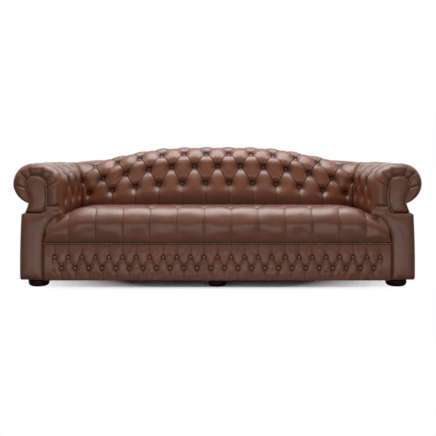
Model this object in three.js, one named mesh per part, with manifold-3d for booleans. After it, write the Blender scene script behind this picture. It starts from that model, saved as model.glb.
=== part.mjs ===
// A deep-buttoned camelback sofa in leather, on a hardwood frame with sinuous seat springs.
// Millimetres, +Z up, +Y towards the back, origin on the floor under the middle of the sofa.
// Names ending in left are on the -X side, names ending in right on the +X side.

import * as THREE from 'three';
import Module from 'manifold-3d';
import { mergeVertices } from 'three/addons/utils/BufferGeometryUtils.js';

const wasm = await Module();
wasm.setup();

// Overall sizes
const WIDTH = 2500;
const DEPTH = 950;
const ARM_HEIGHT = 752;
const CAMEL_RISE = 106;
const SEAT_HEIGHT = 490;
const BASE_CLEARANCE = 42;

// Fits
const CLEARANCE = 0.3;
const SOFT_CLEARANCE = 1;
const OVERRUN = 40;
const HAIR = 0.001;
const CURVE_STEPS = 6;
const EDGE_STEPS = 2;
const BALL_STEPS = 20;
const OUTLINE_STEPS = 40;

// Section of the arms and the back, from the face the sitter leans on to the neck under the roll
const COVER_BASE = 300;
const CROWN_RADIUS = 95;
const ROLL_RADIUS = 120;
const ROLL_SETBACK = 180;
const ROLL_TURN = THREE.MathUtils.degToRad(172);
const COVER_THICKNESS = 45;
const COVER_HEM = 50;
const FOAM_THICKNESS = 35;
const LEAN_FOOT = 61;
const LEAN_FADE = 330;
const CAMEL_FOOT_POWER = 1.6;
const CAMEL_HEAD_POWER = 4;

// Deep buttoning
const TUFT_DEPTH = 38;
const TUFT_ROW = 119;
const TUFT_FIRST = 309;
const TUFT_ROWS = 5;
const BACK_PITCH = 165;
const ARM_PITCH = 208;
const ARM_PAD = 150;
const ARM_FADE = 70;
const ARM_SWELL = 10;
const PLEAT_RUN = 60;
const FOLD_SHARE = 0.55;
const FOLD_POWER = 1.5;
const PLEAT_SHARE = 0.35;
const ROLL_TAIL_SHARES = [0.68, 1];
const CORE_CROWN_SHARES = [0, 1 / 2, 1];
const CORE_ROLL_SHARES = [0, 1 / 5, 2 / 5, 3 / 5, 4 / 5, 1];
const STATION_SHARES = [0, 1 / 4, 1 / 2, 3 / 4, 1];

// Seat
const SEAT_BULGE = 20;
const SEAT_JOINT = 266;
const SEAT_LAP = 8;
const SEAT_NOSE_RUN = 85;
const SEAT_NOSE_DROP = 105;
const SEAT_TUCK = 19;
const SEAT_CROWN = 8;
const SEAT_END_RUN = 300;
const SEAT_END_REACH = 106;
const SEAT_BACK_RADIUS = 40;
const SEAT_TUFT_DEPTH = 22;
const SEAT_COVER_THICKNESS = 30;
const SEAT_PITCH = 165;
const SEAT_FIRST_ROW = 127;
const SEAT_ROW = 115;
const SEAT_ROWS = 4;
const SEAT_FOAM_INSET = 20;
const SEAT_CORE_SHARES = [0, 0.35, 0.7, 1];

// Front border
const BORDER_PITCH = 82.3;
const BORDER_PAD = 24;
const BORDER_LAP = 14.7;
const BORDER_ROUND = 10;
const BORDER_TUFT_DEPTH = 12;
const BORDER_LOWER_ROW = 116;
const BORDER_UPPER_ROW = 181.5;
const BORDER_GAP = 2;

// Scroll facing on each arm front, from the crown face of the arm outwards
const FACING_HEAD_RADIUS = 63;
const FACING_HEAD_OUT = 153;
const FACING_HEAD_DROP = 137;
const FACING_WAIST_IN = 84;
const FACING_WAIST_OUT = 190;
const FACING_WAIST_SHARE = 0.54;
const FACING_FOOT_IN = 112;
const FACING_FOOT_OUT = 205;
const FACING_FOOT_RISE = 5;
const FACING_EDGE = 8;
const FACING_GAP = 3;
const RING_ROUND = 60;
const RING_SHARES = [[0, 1.04], [0, 0.6], [0.12, 0.32], [0.42, 0.1], [1, 0]];

// Arm front panel and the outer panels
const PANEL_NECK_OUT = 197;
const PANEL_TOP_OUT = 240;
const PANEL_FOOT_OUT = 247;
const SHOULDER_SHARE = 0.8805;
const PANEL_SHOULDER_OUT = 210;
const PANEL_CORNER = 13;
const PANEL_THICKNESS = 10;
const NECK_THICKNESS = 8;
const PANEL_PAD = 30;
const PANEL_EDGE = 9;
const FOLD_DROP = 1;
const PANEL_INNER_IN = 10;

// Nail trim
const TRIM_WIDTH = 11;
const TRIM_HEIGHT = 4;
const TRIM_FOOT_STEPS = 5;
const TRIM_SHARES = [[-1, 0], [-0.6, 0.8], [0, 1], [0.6, 0.8], [1, 0]];

// Timber frame
const RAIL_BOTTOM = 60;
const RAIL_TOP = 262;
const RAIL_THICKNESS = 40;
const BASE_RAIL_TOP = 220;
const BOARD_THICKNESS = 22;
const BOARD_INSET = 12;
const POST_DEPTH = 52;
const ROLL_RAIL = 52;
const RIB_THICKNESS = 25;
const RIB_SPACING = 680;
const RIB_HEAD_DROP = 95;
const BEARER_WIDTH = 45;
const BEARER_TOP = 232;
const BEARER_SPACING = 700;
const REAR_RAIL_WIDTH = 85;
const REAR_RAIL_BOTTOM = 180;
const TACK_RAIL_WIDTH = 40;
const TACK_RAIL_TOP = 340;
const BLOCK_LEG = 70;

// Springs, webbing and platform
const SPRING_WIRE = 3.8;
const SPRING_SWING = 25;
const SPRING_WAVES = 6;
const SPRING_WAVE_STEPS = 7;
const SPRING_SPACING = 340;
const SPRING_COUNT = 5;
const SPRING_END_INSET = 10;
const PLATFORM_THICKNESS = 2;
const PLATFORM_MARGIN = 50;
const WEBBING_WIDTH = 70;
const WEBBING_THICKNESS = 2;
const WEBBING_SHARES = [0.52, 0.665];

// Feet
const FOOT_WIDTH = 127;
const FOOT_CENTRE_WIDTH = 120;
const FOOT_NECK_SHARE = 0.63;
const FOOT_PROFILE_SHARES = [[0.71, 0], [0.93, 0.16], [1, 0.36], [0.94, 0.56], [0.63, 0.7], [0.63, 1]];
const FOOT_STEPS = 18;
const FOOT_INSET_X = 165;
const FOOT_INSET_FRONT = 90;
const FOOT_INSET_BACK = 130;
const DUST_COVER_THICKNESS = 2;

// Places worked out from the sizes above
const reach = ROLL_SETBACK + ROLL_RADIUS;
const armCrown = WIDTH / 2 - reach;
const backCrown = DEPTH / 2 - reach;
const armFront = SEAT_BULGE - DEPTH / 2;
const seatFront = -DEPTH / 2;
const seatEnd = armCrown + SEAT_END_REACH;
const straightRun = ARM_HEIGHT + CAMEL_RISE - CROWN_RADIUS - COVER_BASE;
const crownRun = CROWN_RADIUS * Math.PI / 2;
const flatRun = ROLL_SETBACK - CROWN_RADIUS;
const rollStart = straightRun + crownRun + flatRun;
const sectionRun = rollStart + ROLL_RADIUS * ROLL_TURN;
const panelBack = armFront + PANEL_PAD;
const boardBack = panelBack + CLEARANCE + BOARD_THICKNESS;
const lipBack = boardBack - CLEARANCE;
const neckInside = PANEL_NECK_OUT - NECK_THICKNESS - CLEARANCE;
const baseInside = PANEL_TOP_OUT - PANEL_THICKNESS - CLEARANCE;
const coreDepth = COVER_THICKNESS + CLEARANCE + FOAM_THICKNESS;
const rollRailIn = ROLL_SETBACK - ROLL_RAIL / 2;
const rollRailOut = ROLL_SETBACK + ROLL_RAIL / 2;
const rollRailDrop = ROLL_RADIUS + ROLL_RAIL / 2;
const ribFront = coreDepth + CLEARANCE * 2 + WEBBING_THICKNESS;
const ribBack = backCrown + neckInside;
const footHeight = RAIL_BOTTOM - CLEARANCE;
const neckDrop = ROLL_RADIUS - ROLL_RADIUS * Math.cos(ROLL_TURN) + SOFT_CLEARANCE;
const neckTop = ARM_HEIGHT - neckDrop;
const shoulderTop = neckTop * SHOULDER_SHARE;
const foldHeight = SEAT_HEIGHT - FOLD_DROP;
const facingFoot = shoulderTop + FACING_FOOT_RISE;
const facingHeadZ = ARM_HEIGHT - FACING_HEAD_DROP;
const facingWaist = facingFoot + FACING_WAIST_SHARE * (facingHeadZ - facingFoot);

// Finishes
function finish(colour, roughness, metalness = 0) {
  return { color: colour, roughness, metalness };
}

const LEATHER = finish('#5c3a28', 0.42);
const FOAM = finish('#e8dcb8', 0.95);
const BEECH = finish('#c79c6a', 0.7);
const PLYWOOD = finish('#d2ad7a', 0.75);
const SPRING_STEEL = finish('#3b3d40', 0.4, 0.9);
const JUTE = finish('#a98f62', 0.95);
const MAHOGANY = finish('#1f0d08', 0.25);
const BRONZE = finish('#3c3128', 0.45, 0.8);
const LINING = finish('#191919', 0.95);

const sofa = new THREE.Group();
sofa.name = 'camelback_sofa';

function add(name, geometry, look) {
  const mesh = new THREE.Mesh(geometry, new THREE.MeshStandardMaterial(look));
  mesh.name = name;
  sofa.add(mesh);
  return mesh;
}

// Solids

function solidOf(geometry) {
  const bare = geometry.clone();
  bare.deleteAttribute('normal');
  bare.deleteAttribute('uv');
  const merged = mergeVertices(bare);
  return new wasm.Manifold(new wasm.Mesh({
    numProp: 3,
    vertProperties: Float32Array.from(merged.attributes.position.array),
    triVerts: Uint32Array.from(merged.index.array),
  }));
}

function geometryOf(solid) {
  const mesh = solid.getMesh();
  const geometry = new THREE.BufferGeometry();
  geometry.setAttribute('position', new THREE.BufferAttribute(Float32Array.from(mesh.vertProperties), 3));
  geometry.setIndex(Array.from(mesh.triVerts));
  geometry.computeVertexNormals();
  return geometry;
}

function signedVolume(points, triangles) {
  let total = 0;
  for (const [a, b, c] of triangles) {
    const [p, q, r] = [points[a], points[b], points[c]];
    total += p[0] * (q[1] * r[2] - q[2] * r[1]) - p[1] * (q[0] * r[2] - q[2] * r[0])
      + p[2] * (q[0] * r[1] - q[1] * r[0]);
  }
  return total;
}

// A closed body through a row of closed outlines with equal counts of points. Each outline point may
// carry its tuft depth as a fourth number, and then each cell is split along its deeper diagonal, so
// that the folds between the buttons stay sharp. A body that is a loop joins its last outline to the first.
function skin(outlines, capAxes, loop = false) {
  const count = outlines[0].length;
  const points = outlines.flat();
  const triangles = [];
  const rows = loop ? outlines.length : outlines.length - 1;
  for (let i = 0; i < rows; i++) {
    const next = ((i + 1) % outlines.length) * count;
    for (let j = 0; j < count; j++) {
      const k = (j + 1) % count;
      const [a, b, c, d] = [i * count + j, i * count + k, next + k, next + j];
      const depth = (m) => points[m][3] ?? 0;
      if (depth(a) + depth(c) >= depth(b) + depth(d)) triangles.push([a, b, c], [a, c, d]);
      else triangles.push([a, b, d], [b, c, d]);
    }
  }
  if (!loop) {
    // A hair off the line keeps every point of a straight stretch in the cap.
    const flat = (outline) => outline.map((p, index) => new THREE.Vector2(
      p[capAxes[0]] + HAIR * Math.sin(index * index), p[capAxes[1]] + HAIR * Math.cos(index * index)));
    for (const end of [0, outlines.length - 1]) {
      for (const face of THREE.ShapeUtils.triangulateShape(flat(outlines[end]), [])) {
        triangles.push(face.map((m) => m + end * count));
      }
    }
  }
  return bodyOf(points, orient(points, triangles));
}

// Turns every triangle so that neighbours agree across each edge and the whole faces outwards.
function orient(points, triangles) {
  const edges = new Map();
  triangles.forEach((t, index) => {
    for (let k = 0; k < 3; k++) {
      const [a, b] = [t[k], t[(k + 1) % 3]];
      const key = a < b ? `${a},${b}` : `${b},${a}`;
      if (!edges.has(key)) edges.set(key, []);
      edges.get(key).push([index, a < b]);
    }
  });
  const turned = new Array(triangles.length).fill(null);
  turned[0] = false;
  const queue = [0];
  while (queue.length > 0) {
    const at = queue.pop();
    const t = triangles[at];
    for (let k = 0; k < 3; k++) {
      const [a, b] = [t[k], t[(k + 1) % 3]];
      const key = a < b ? `${a},${b}` : `${b},${a}`;
      const forward = (a < b) !== turned[at];
      for (const [other, way] of edges.get(key)) {
        if (other === at || turned[other] !== null) continue;
        turned[other] = way === forward;
        queue.push(other);
      }
    }
  }
  const agreed = triangles.map((t, index) => (turned[index] ? [t[0], t[2], t[1]] : t));
  return signedVolume(points, agreed) < 0 ? agreed.map(([a, b, c]) => [a, c, b]) : agreed;
}

function bodyOf(points, triangles) {
  const geometry = new THREE.BufferGeometry();
  const positions = points.flatMap((p) => p.slice(0, 3));
  geometry.setAttribute('position', new THREE.Float32BufferAttribute(positions, 3));
  geometry.setIndex(triangles.flat());
  geometry.computeVertexNormals();
  return geometry;
}

function block(x0, x1, y0, y1, z0, z1) {
  const box = new THREE.BoxGeometry(x1 - x0, y1 - y0, z1 - z0);
  box.translate((x0 + x1) / 2, (y0 + y1) / 2, (z0 + z1) / 2);
  return box;
}

// A shape drawn in X and Z, made solid from y0 to y1. A padded one has its front edge rounded over.
function slab(shape, y0, y1) {
  const options = { depth: y1 - y0, bevelEnabled: false, curveSegments: CURVE_STEPS };
  const geometry = new THREE.ExtrudeGeometry(shape, options);
  geometry.rotateX(Math.PI / 2);
  geometry.translate(0, y1, 0);
  return geometry;
}

function paddedSlab(shape, y0, y1, edge, inset) {
  const geometry = new THREE.ExtrudeGeometry(shape, {
    depth: y1 - y0,
    curveSegments: CURVE_STEPS,
    bevelThickness: edge,
    bevelSize: edge,
    bevelOffset: -edge - inset,
    bevelSegments: EDGE_STEPS,
  });
  geometry.rotateX(Math.PI / 2);
  geometry.translate(0, y1 + edge, 0);
  const behind = block(-WIDTH, WIDTH, y1, y1 + edge + OVERRUN, -OVERRUN, ARM_HEIGHT * 2);
  return geometryOf(solidOf(geometry).subtract(solidOf(behind)));
}

function mirrored(geometry) {
  const copy = geometry.index ? geometry.clone() : mergeVertices(geometry);
  copy.scale(-1, 1, 1);
  const index = Array.from(copy.index.array);
  for (let k = 0; k < index.length; k += 3) [index[k + 1], index[k + 2]] = [index[k + 2], index[k + 1]];
  copy.setIndex(index);
  copy.computeVertexNormals();
  return copy;
}

function addPair(name, geometry, look) {
  add(`${name}_right`, geometry, look);
  add(`${name}_left`, mirrored(geometry), look);
}

// Section of arms and back

function camelTop(x) {
  const inwards = Math.max(0, 1 - Math.abs(x) / armCrown);
  return ARM_HEIGHT + CAMEL_RISE * (1 - (1 - inwards ** CAMEL_FOOT_POWER) ** CAMEL_HEAD_POWER);
}

function leanAt(x) {
  const t = THREE.MathUtils.clamp((armCrown - Math.abs(x)) / LEAN_FADE, 0, 1);
  return t * t * (3 - 2 * t);
}

// How far the back comes forward at a share of its straight run, none at the top of the run
function leanOffset(share, lean) {
  return -lean * LEAN_FOOT * (1 - share);
}

function leanAtHeight(z, lean) {
  return leanOffset((z - COVER_BASE) / straightRun, lean);
}

// The point at run u along the section of a wall with the given top, sunk by depth along its normal:
// n is measured outwards from the crown face, z upwards.
function sectionPoint(u, top, depth = 0, lean = 0) {
  if (u <= straightRun) {
    const z = COVER_BASE + (u / straightRun) * (top - CROWN_RADIUS - COVER_BASE);
    return [depth + leanOffset(u / straightRun, lean), z];
  }
  if (u <= straightRun + crownRun) {
    const turn = (u - straightRun) / CROWN_RADIUS;
    const r = CROWN_RADIUS - depth;
    return [CROWN_RADIUS - r * Math.cos(turn), top - CROWN_RADIUS + r * Math.sin(turn)];
  }
  if (u <= rollStart) return [CROWN_RADIUS + u - straightRun - crownRun, top - depth];
  const turn = (u - rollStart) / ROLL_RADIUS;
  const r = ROLL_RADIUS - depth;
  return [ROLL_SETBACK + r * Math.sin(turn), top - ROLL_RADIUS + r * Math.cos(turn)];
}

// Runs along the section where the buttons lie, and the finer runs that carry the folds between them
const tuftRows = Array.from({ length: TUFT_ROWS }, (_, row) => TUFT_FIRST + row * TUFT_ROW);
const tailRun = sectionRun - tuftRows.at(-1);
const skinRuns = [
  0,
  TUFT_FIRST - TUFT_ROW / 2,
  ...tuftRows.slice(0, -1).flatMap((run) => [run, run + TUFT_ROW / 2]),
  tuftRows.at(-1),
  rollStart + crownRun * ROLL_RADIUS / CROWN_RADIUS,
  ...ROLL_TAIL_SHARES.map((share) => tuftRows.at(-1) + share * tailRun),
];
const coreRuns = [
  0,
  ...CORE_CROWN_SHARES.map((share) => straightRun + share * crownRun),
  ...CORE_ROLL_SHARES.map((share) => rollStart + share * (sectionRun - rollStart)),
];

// The foam stops short of the neck, where the covers are tacked to the rails
const foamRuns = coreRuns.slice(0, -1);

function nearestPit(along, first, pitch) {
  const places = (along - first) / pitch;
  return Math.abs(places - Math.round(places)) * 2;
}

// Share of the full tuft depth at a place on a buttoned surface. The folds run along the sides of the
// diamonds from button to button, and beyond the outer rows each button sends a straight pleat.
function tuftShare(along, across, net) {
  const last = net.rows.length - 1;
  const pits = (row) => net.first + (row % 2) * net.pitch / 2;
  const outer = across <= net.rows[0] ? 0 : last;
  if (across <= net.rows[0] || across >= net.rows[last]) {
    const q = nearestPit(along, pits(outer), net.pitch);
    const run = Math.abs(across - net.rows[outer]);
    return (PLEAT_SHARE + (1 - PLEAT_SHARE) * Math.exp(-run / PLEAT_RUN)) * (1 - q) ** 2;
  }
  const row = net.rows.findIndex((run, index) => across >= run && across < net.rows[index + 1]);
  const t = (across - net.rows[row]) / (net.rows[row + 1] - net.rows[row]);
  const q = nearestPit(along, pits(row), net.pitch);
  const fold = FOLD_SHARE + (1 - FOLD_SHARE) * Math.abs(2 * t - 1) ** FOLD_POWER;
  return fold * (1 - Math.abs(q - t)) ** 2;
}

const backNet = { pitch: BACK_PITCH, first: BACK_PITCH / 2, rows: tuftRows };
const armFirstPit = armFront + ARM_PAD;
const armNet = { pitch: ARM_PITCH, first: armFirstPit, rows: tuftRows };

// Everything beyond the mitre where arm and back meet, on the arm's side or on the back's side
function mitreCut(keepArm) {
  const far = WIDTH + DEPTH;
  const gap = CLEARANCE * Math.SQRT1_2;
  const base = [armCrown, backCrown];
  const shift = keepArm ? [gap, -gap] : [-gap, gap];
  const corner = keepArm ? [-far, far] : [far, -far];
  const plan = [
    [base[0] + shift[0] / 2 - far, base[1] + shift[1] / 2 - far],
    [base[0] + shift[0] / 2 + far, base[1] + shift[1] / 2 + far],
    [base[0] + corner[0], base[1] + corner[1]],
  ];
  const levels = [-OVERRUN, ARM_HEIGHT * 2];
  return solidOf(skin(levels.map((z) => plan.map(([x, y]) => [x, y, z])), [0, 1]));
}

const dropBackSide = mitreCut(true);
const dropArmSide = mitreCut(false);

function mirrorSolid(solid) {
  return solidOf(mirrored(geometryOf(solid)));
}

const dropLeftArmSide = mirrorSolid(dropArmSide);

function cutToBack(solid) {
  return solid.subtract(dropArmSide).subtract(dropLeftArmSide);
}

// The rounded outer corner of the roll: what lies outside the ball where the two rolls cross
function outsideCornerBall() {
  const x = armCrown + ROLL_SETBACK;
  const y = backCrown + ROLL_SETBACK;
  const z = ARM_HEIGHT - ROLL_RADIUS;
  const ball = new THREE.SphereGeometry(ROLL_RADIUS, BALL_STEPS, BALL_STEPS / 2);
  ball.rotateX(Math.PI / 2);
  ball.translate(x, y, z);
  const far = ROLL_RADIUS * 2;
  const corner = block(x, x + far, y, y + far, z - far, z + far);
  return solidOf(corner).subtract(solidOf(ball));
}

const cornerWaste = outsideCornerBall();
const cornerWasteLeft = mirrorSolid(cornerWaste);

// Inside back

const rightStations = [...STATION_SHARES.map((share) => share * armCrown), WIDTH / 2 + OVERRUN];
const stations = [...rightStations.slice(1).map((x) => -x).reverse(), ...rightStations];

function backOutline(x, runs, depthAt, extra) {
  const top = camelTop(x);
  const lean = leanAt(x);
  const wall = runs.map((u) => {
    const depth = depthAt(u);
    const [n, z] = sectionPoint(u, top, depth, lean);
    return [x, backCrown + n, z, depth];
  });
  return [...wall, ...extra(top, lean).map(([n, z]) => [x, backCrown + n, z])];
}

function hemPoint(lean) {
  return [[COVER_HEM + leanOffset(0, lean), COVER_BASE]];
}

// Closes a hollow past the open edges of a cover
function hollowMouth(top, lean) {
  const past = ROLL_RADIUS + OVERRUN / 2;
  return [
    [ROLL_SETBACK + past * Math.sin(ROLL_TURN), top - ROLL_RADIUS + past * Math.cos(ROLL_TURN)],
    [COVER_THICKNESS + leanOffset(0, lean), COVER_BASE - OVERRUN / 2],
  ];
}

function insideBackCover() {
  const columns = [];
  const step = BACK_PITCH / 4;
  const half = Math.ceil((WIDTH / 2 + step) / step);
  for (let k = -half; k <= half; k++) columns.push(k * step);
  const outer = columns.map((x) => backOutline(
    x, skinRuns, (u) => TUFT_DEPTH * tuftShare(x, u, backNet), (top, lean) => hemPoint(lean)));
  const inner = stations.map((x) => backOutline(x, coreRuns, () => COVER_THICKNESS, hollowMouth));
  const shell = solidOf(skin(outer, [1, 2])).subtract(solidOf(skin(inner, [1, 2])));
  return geometryOf(cutToBack(shell.subtract(cornerWaste).subtract(cornerWasteLeft)));
}

function backFoam() {
  const outlines = stations.map((x) => {
    const top = camelTop(x);
    const front = foamRuns.map((u) => sectionPoint(u, top, COVER_THICKNESS + CLEARANCE, leanAt(x)));
    const rear = foamRuns.map((u) => sectionPoint(u, top, coreDepth)).reverse();
    return [...front, ...rear].map(([n, z]) => [x, backCrown + n, z]);
  });
  return geometryOf(cutToBack(solidOf(skin(outlines, [1, 2]))));
}

add('inside_back_cover', insideBackCover(), LEATHER);
add('back_foam', backFoam(), FOAM);

// Scroll facing outline, from the inner foot over the head to the outer foot

const facingHeadX = armCrown + FACING_HEAD_OUT;
const facingWaistInX = armCrown + FACING_WAIST_IN;
const facingWaistOutX = armCrown + FACING_WAIST_OUT;
const facingFootInX = armCrown + FACING_FOOT_IN;
const facingFootOutX = armCrown + FACING_FOOT_OUT;

function facingPath(path) {
  const pull = (facingHeadZ - facingWaist) / 2;
  const drop = (facingWaist - facingFoot) / 2;
  path.moveTo(facingFootInX, facingFoot);
  path.quadraticCurveTo(facingWaistInX, facingWaist - drop, facingWaistInX, facingWaist);
  path.bezierCurveTo(
    facingWaistInX, facingWaist + pull, facingHeadX - FACING_HEAD_RADIUS, facingHeadZ - pull / 2,
    facingHeadX - FACING_HEAD_RADIUS, facingHeadZ);
  path.absarc(facingHeadX, facingHeadZ, FACING_HEAD_RADIUS, Math.PI, 0, true);
  path.bezierCurveTo(
    facingHeadX + FACING_HEAD_RADIUS, facingHeadZ - pull, facingWaistOutX, facingWaist + pull / 2,
    facingWaistOutX, facingWaist);
  path.quadraticCurveTo(facingWaistOutX, facingWaist - drop, facingFootOutX, facingFoot);
  return path;
}

const facingShape = facingPath(new THREE.Shape());
const facingCurve = facingPath(new THREE.Path());

// Inside arms

function pastPad(y) {
  return THREE.MathUtils.clamp((armFirstPit - y) / ARM_FADE, 0, 1);
}

function armDepth(y, u) {
  const fade = 1 - pastPad(y);
  const swell = ARM_SWELL * Math.sin(Math.PI * THREE.MathUtils.clamp((armFirstPit - y) / ARM_PAD, 0, 1));
  const onFace = u >= tuftRows[0] && u < straightRun + crownRun ? 1 : 0;
  return TUFT_DEPTH * fade * tuftShare(Math.max(y, armFirstPit), u, armNet) - swell * onFace;
}

// The cover rolls over the front edge of the arm and runs in to the nail line of the facing.
function armOutline(y, blend) {
  const foldRun = straightRun * (foldHeight - COVER_BASE) / (ARM_HEIGHT - CROWN_RADIUS - COVER_BASE);
  const wall = skinRuns.map((u) => {
    const depth = armDepth(y, u);
    const [n, z] = sectionPoint(u, ARM_HEIGHT, depth);
    const share = THREE.MathUtils.clamp((u - foldRun) / (sectionRun - foldRun), 0, 1);
    const nail = facingCurve.getPointAt(share);
    const target = u < foldRun ? [facingFootInX, z] : [nail.x, nail.y];
    const x = armCrown + n;
    return [x + (target[0] - x) * blend, y, z + (target[1] - z) * blend, depth];
  });
  const hem = [armCrown + COVER_HEM, COVER_BASE];
  return [...wall, [hem[0] + (facingFootInX - armCrown) * blend, y, hem[1]]];
}

function armHollow() {
  const behind = [boardBack, backCrown + reach + OVERRUN].map((y) => [
    ...coreRuns.map((u) => sectionPoint(u, ARM_HEIGHT, COVER_THICKNESS)),
    ...hollowMouth(ARM_HEIGHT, 0),
  ].map(([n, z]) => [armCrown + n, y, z]));
  const board = slab(facingInset(BOARD_INSET), panelBack - OVERRUN, boardBack + OVERRUN);
  const seatForFacing = slab(facingShape, armFront - OVERRUN, panelBack);
  return solidOf(skin(behind, [0, 2])).add(solidOf(board)).add(solidOf(seatForFacing));
}

function facingInset(inset) {
  const points = facingCurve.getSpacedPoints(OUTLINE_STEPS).map((p, index, all) => {
    const before = all[Math.max(index - 1, 0)];
    const after = all[Math.min(index + 1, all.length - 1)];
    const along = after.clone().sub(before).normalize();
    return new THREE.Vector2(p.x + along.y * inset, p.y - along.x * inset);
  });
  const floor = facingFoot - OVERRUN;
  const first = new THREE.Vector2(points[0].x, floor);
  const last = new THREE.Vector2(points.at(-1).x, floor);
  return new THREE.Shape([first, ...points, last]);
}

function insideArmCover() {
  const rings = RING_SHARES.map(([share, blend]) => armOutline(armFront + RING_ROUND * share, blend));
  const columns = [(armFront + RING_ROUND + armFirstPit) / 2];
  for (let y = armFirstPit; y < backCrown + reach + ARM_PITCH / 4; y += ARM_PITCH / 4) columns.push(y);
  const outer = solidOf(skin([...rings, ...columns.map((y) => armOutline(y, 0))], [0, 2]));
  const front = armFront - OVERRUN;
  const rear = boardBack + CLEARANCE;
  const floor = COVER_BASE - OVERRUN;
  const fold = foldHeight + CLEARANCE;
  const foot = facingFoot + CLEARANCE;
  const neck = neckTop + CLEARANCE;
  const ringEnd = armFront + RING_ROUND + OVERRUN;
  const underFold = block(armCrown - OVERRUN, facingFootInX + BOARD_INSET, front, rear, floor, fold);
  const underFacing = block(facingFootInX - OVERRUN, WIDTH / 2, front, rear, floor, foot);
  const underNeck = block(armCrown + neckInside, WIDTH / 2, panelBack, ringEnd, floor, neck);
  const below = [underFold, underFacing, underNeck].map(solidOf);
  const waste = [armHollow(), cornerWaste, dropBackSide, ...below];
  return geometryOf(waste.reduce((body, cut) => body.subtract(cut), outer));
}

function armFoam() {
  const outline = [
    ...foamRuns.map((u) => sectionPoint(u, ARM_HEIGHT, COVER_THICKNESS + CLEARANCE)),
    ...foamRuns.map((u) => sectionPoint(u, ARM_HEIGHT, coreDepth)).reverse(),
  ];
  const ends = [boardBack + CLEARANCE, backCrown + reach + OVERRUN];
  const body = skin(ends.map((y) => outline.map(([n, z]) => [armCrown + n, y, z])), [0, 2]);
  return geometryOf(solidOf(body).subtract(dropBackSide));
}

addPair('inside_arm_cover', insideArmCover(), LEATHER);
addPair('arm_foam', armFoam(), FOAM);

// Seat

function seatEndShare(x) {
  const past = Math.max(0, Math.abs(x) - (seatEnd - SEAT_END_RUN)) / SEAT_END_RUN;
  return Math.sqrt(Math.max(0, 1 - past * past));
}

const seatFirstPlace = armFront + SEAT_FIRST_ROW;
const seatRowsEnd = backCrown + leanAtHeight(SEAT_HEIGHT - SEAT_BACK_RADIUS * 2, 1) - SEAT_BACK_RADIUS;

// Seat profile from the nailed front edge over the crown to the back, as [y, z, normal y, normal z, run]
function seatProfile(lean) {
  const noseY = seatFront + SEAT_NOSE_RUN;
  const noseZ = SEAT_HEIGHT - SEAT_CROWN - SEAT_NOSE_DROP;
  const rearY = backCrown + leanOffset(0, lean) - SOFT_CLEARANCE;
  const rearTopY = backCrown + leanAtHeight(SEAT_HEIGHT - SEAT_BACK_RADIUS * 2, lean) - SOFT_CLEARANCE;
  const points = [
    [seatFront + SEAT_TUCK, SEAT_JOINT + CLEARANCE / 2, -1, 0],
    [seatFront + SEAT_TUCK, SEAT_JOINT + SEAT_LAP, -1, 0],
    [seatFront + SEAT_TUCK / 3, SEAT_JOINT + (noseZ - SEAT_JOINT) / 2, -1, 0],
    [seatFront, noseZ, -1, 0],
  ];
  for (const turn of [Math.PI / 6, Math.PI / 3, Math.PI / 2]) {
    points.push([
      noseY - SEAT_NOSE_RUN * Math.cos(turn), noseZ + SEAT_NOSE_DROP * Math.sin(turn),
      -Math.cos(turn), Math.sin(turn),
    ]);
  }
  const crownMid = (noseY + rearTopY) / 2;
  const crownHalf = (rearTopY - noseY) / 2;
  for (let y = seatFirstPlace; y < seatRowsEnd; y += SEAT_ROW / 2) {
    const share = (y - crownMid) / crownHalf;
    points.push([y, SEAT_HEIGHT - SEAT_CROWN * share * share, 0, 1]);
  }
  const edgeZ = SEAT_HEIGHT - SEAT_CROWN;
  const cut = SEAT_BACK_RADIUS * (1 - Math.SQRT1_2);
  points.push([rearTopY - cut, edgeZ - cut, Math.SQRT1_2, Math.SQRT1_2]);
  points.push([rearTopY, edgeZ - SEAT_BACK_RADIUS, 1, 0]);
  points.push([rearY, COVER_BASE, 1, 0]);
  points.push([rearY, SEAT_JOINT + CLEARANCE / 2, 1, 0]);
  let run = 0;
  return points.map((p, index) => {
    const before = points[Math.max(index - 1, 0)];
    run += Math.hypot(p[0] - before[0], p[1] - before[1]);
    return [...p, run];
  });
}

const seatRowPlaces = Array.from({ length: SEAT_ROWS }, (_, row) => seatFirstPlace + row * SEAT_ROW)
  .filter((place) => place < seatRowsEnd);

function seatNet(profile) {
  const onCrown = profile.filter((p) => p[3] === 1);
  const rows = seatRowPlaces.map((place) => onCrown.find((p) => Math.abs(p[0] - place) < HAIR)[4]);
  return { pitch: SEAT_PITCH, first: SEAT_PITCH / 2, rows };
}

function seatOutline(x, depthAt, bottom = null) {
  const share = seatEndShare(x);
  const profile = seatProfile(leanAt(x));
  const tuckY = seatFront + SEAT_TUCK;
  const points = profile.map((p) => {
    const depth = depthAt(p, profile);
    const z = p[1] - p[3] * depth;
    const bulge = Math.min(0, p[0] - tuckY) * (share * share - 1);
    return [x, p[0] + bulge - p[2] * depth, SEAT_JOINT + (z - SEAT_JOINT) * share, depth];
  });
  if (bottom !== null) {
    points[0][2] = bottom;
    points.at(-1)[2] = bottom;
  }
  return points;
}

function seatTuft(x) {
  return (p, profile) => {
    const fade = THREE.MathUtils.clamp((p[1] - SEAT_JOINT - SEAT_LAP) / SEAT_NOSE_RUN, 0, 1);
    return SEAT_TUFT_DEPTH * fade * tuftShare(x, p[4], seatNet(profile));
  };
}

const seatCoreStations = [-1, 1].flatMap((side) => SEAT_CORE_SHARES.map((share) => {
  const straight = seatEnd - SEAT_END_RUN;
  return side * (straight + share * (armCrown - SEAT_FOAM_INSET - straight));
})).sort((a, b) => a - b);

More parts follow.
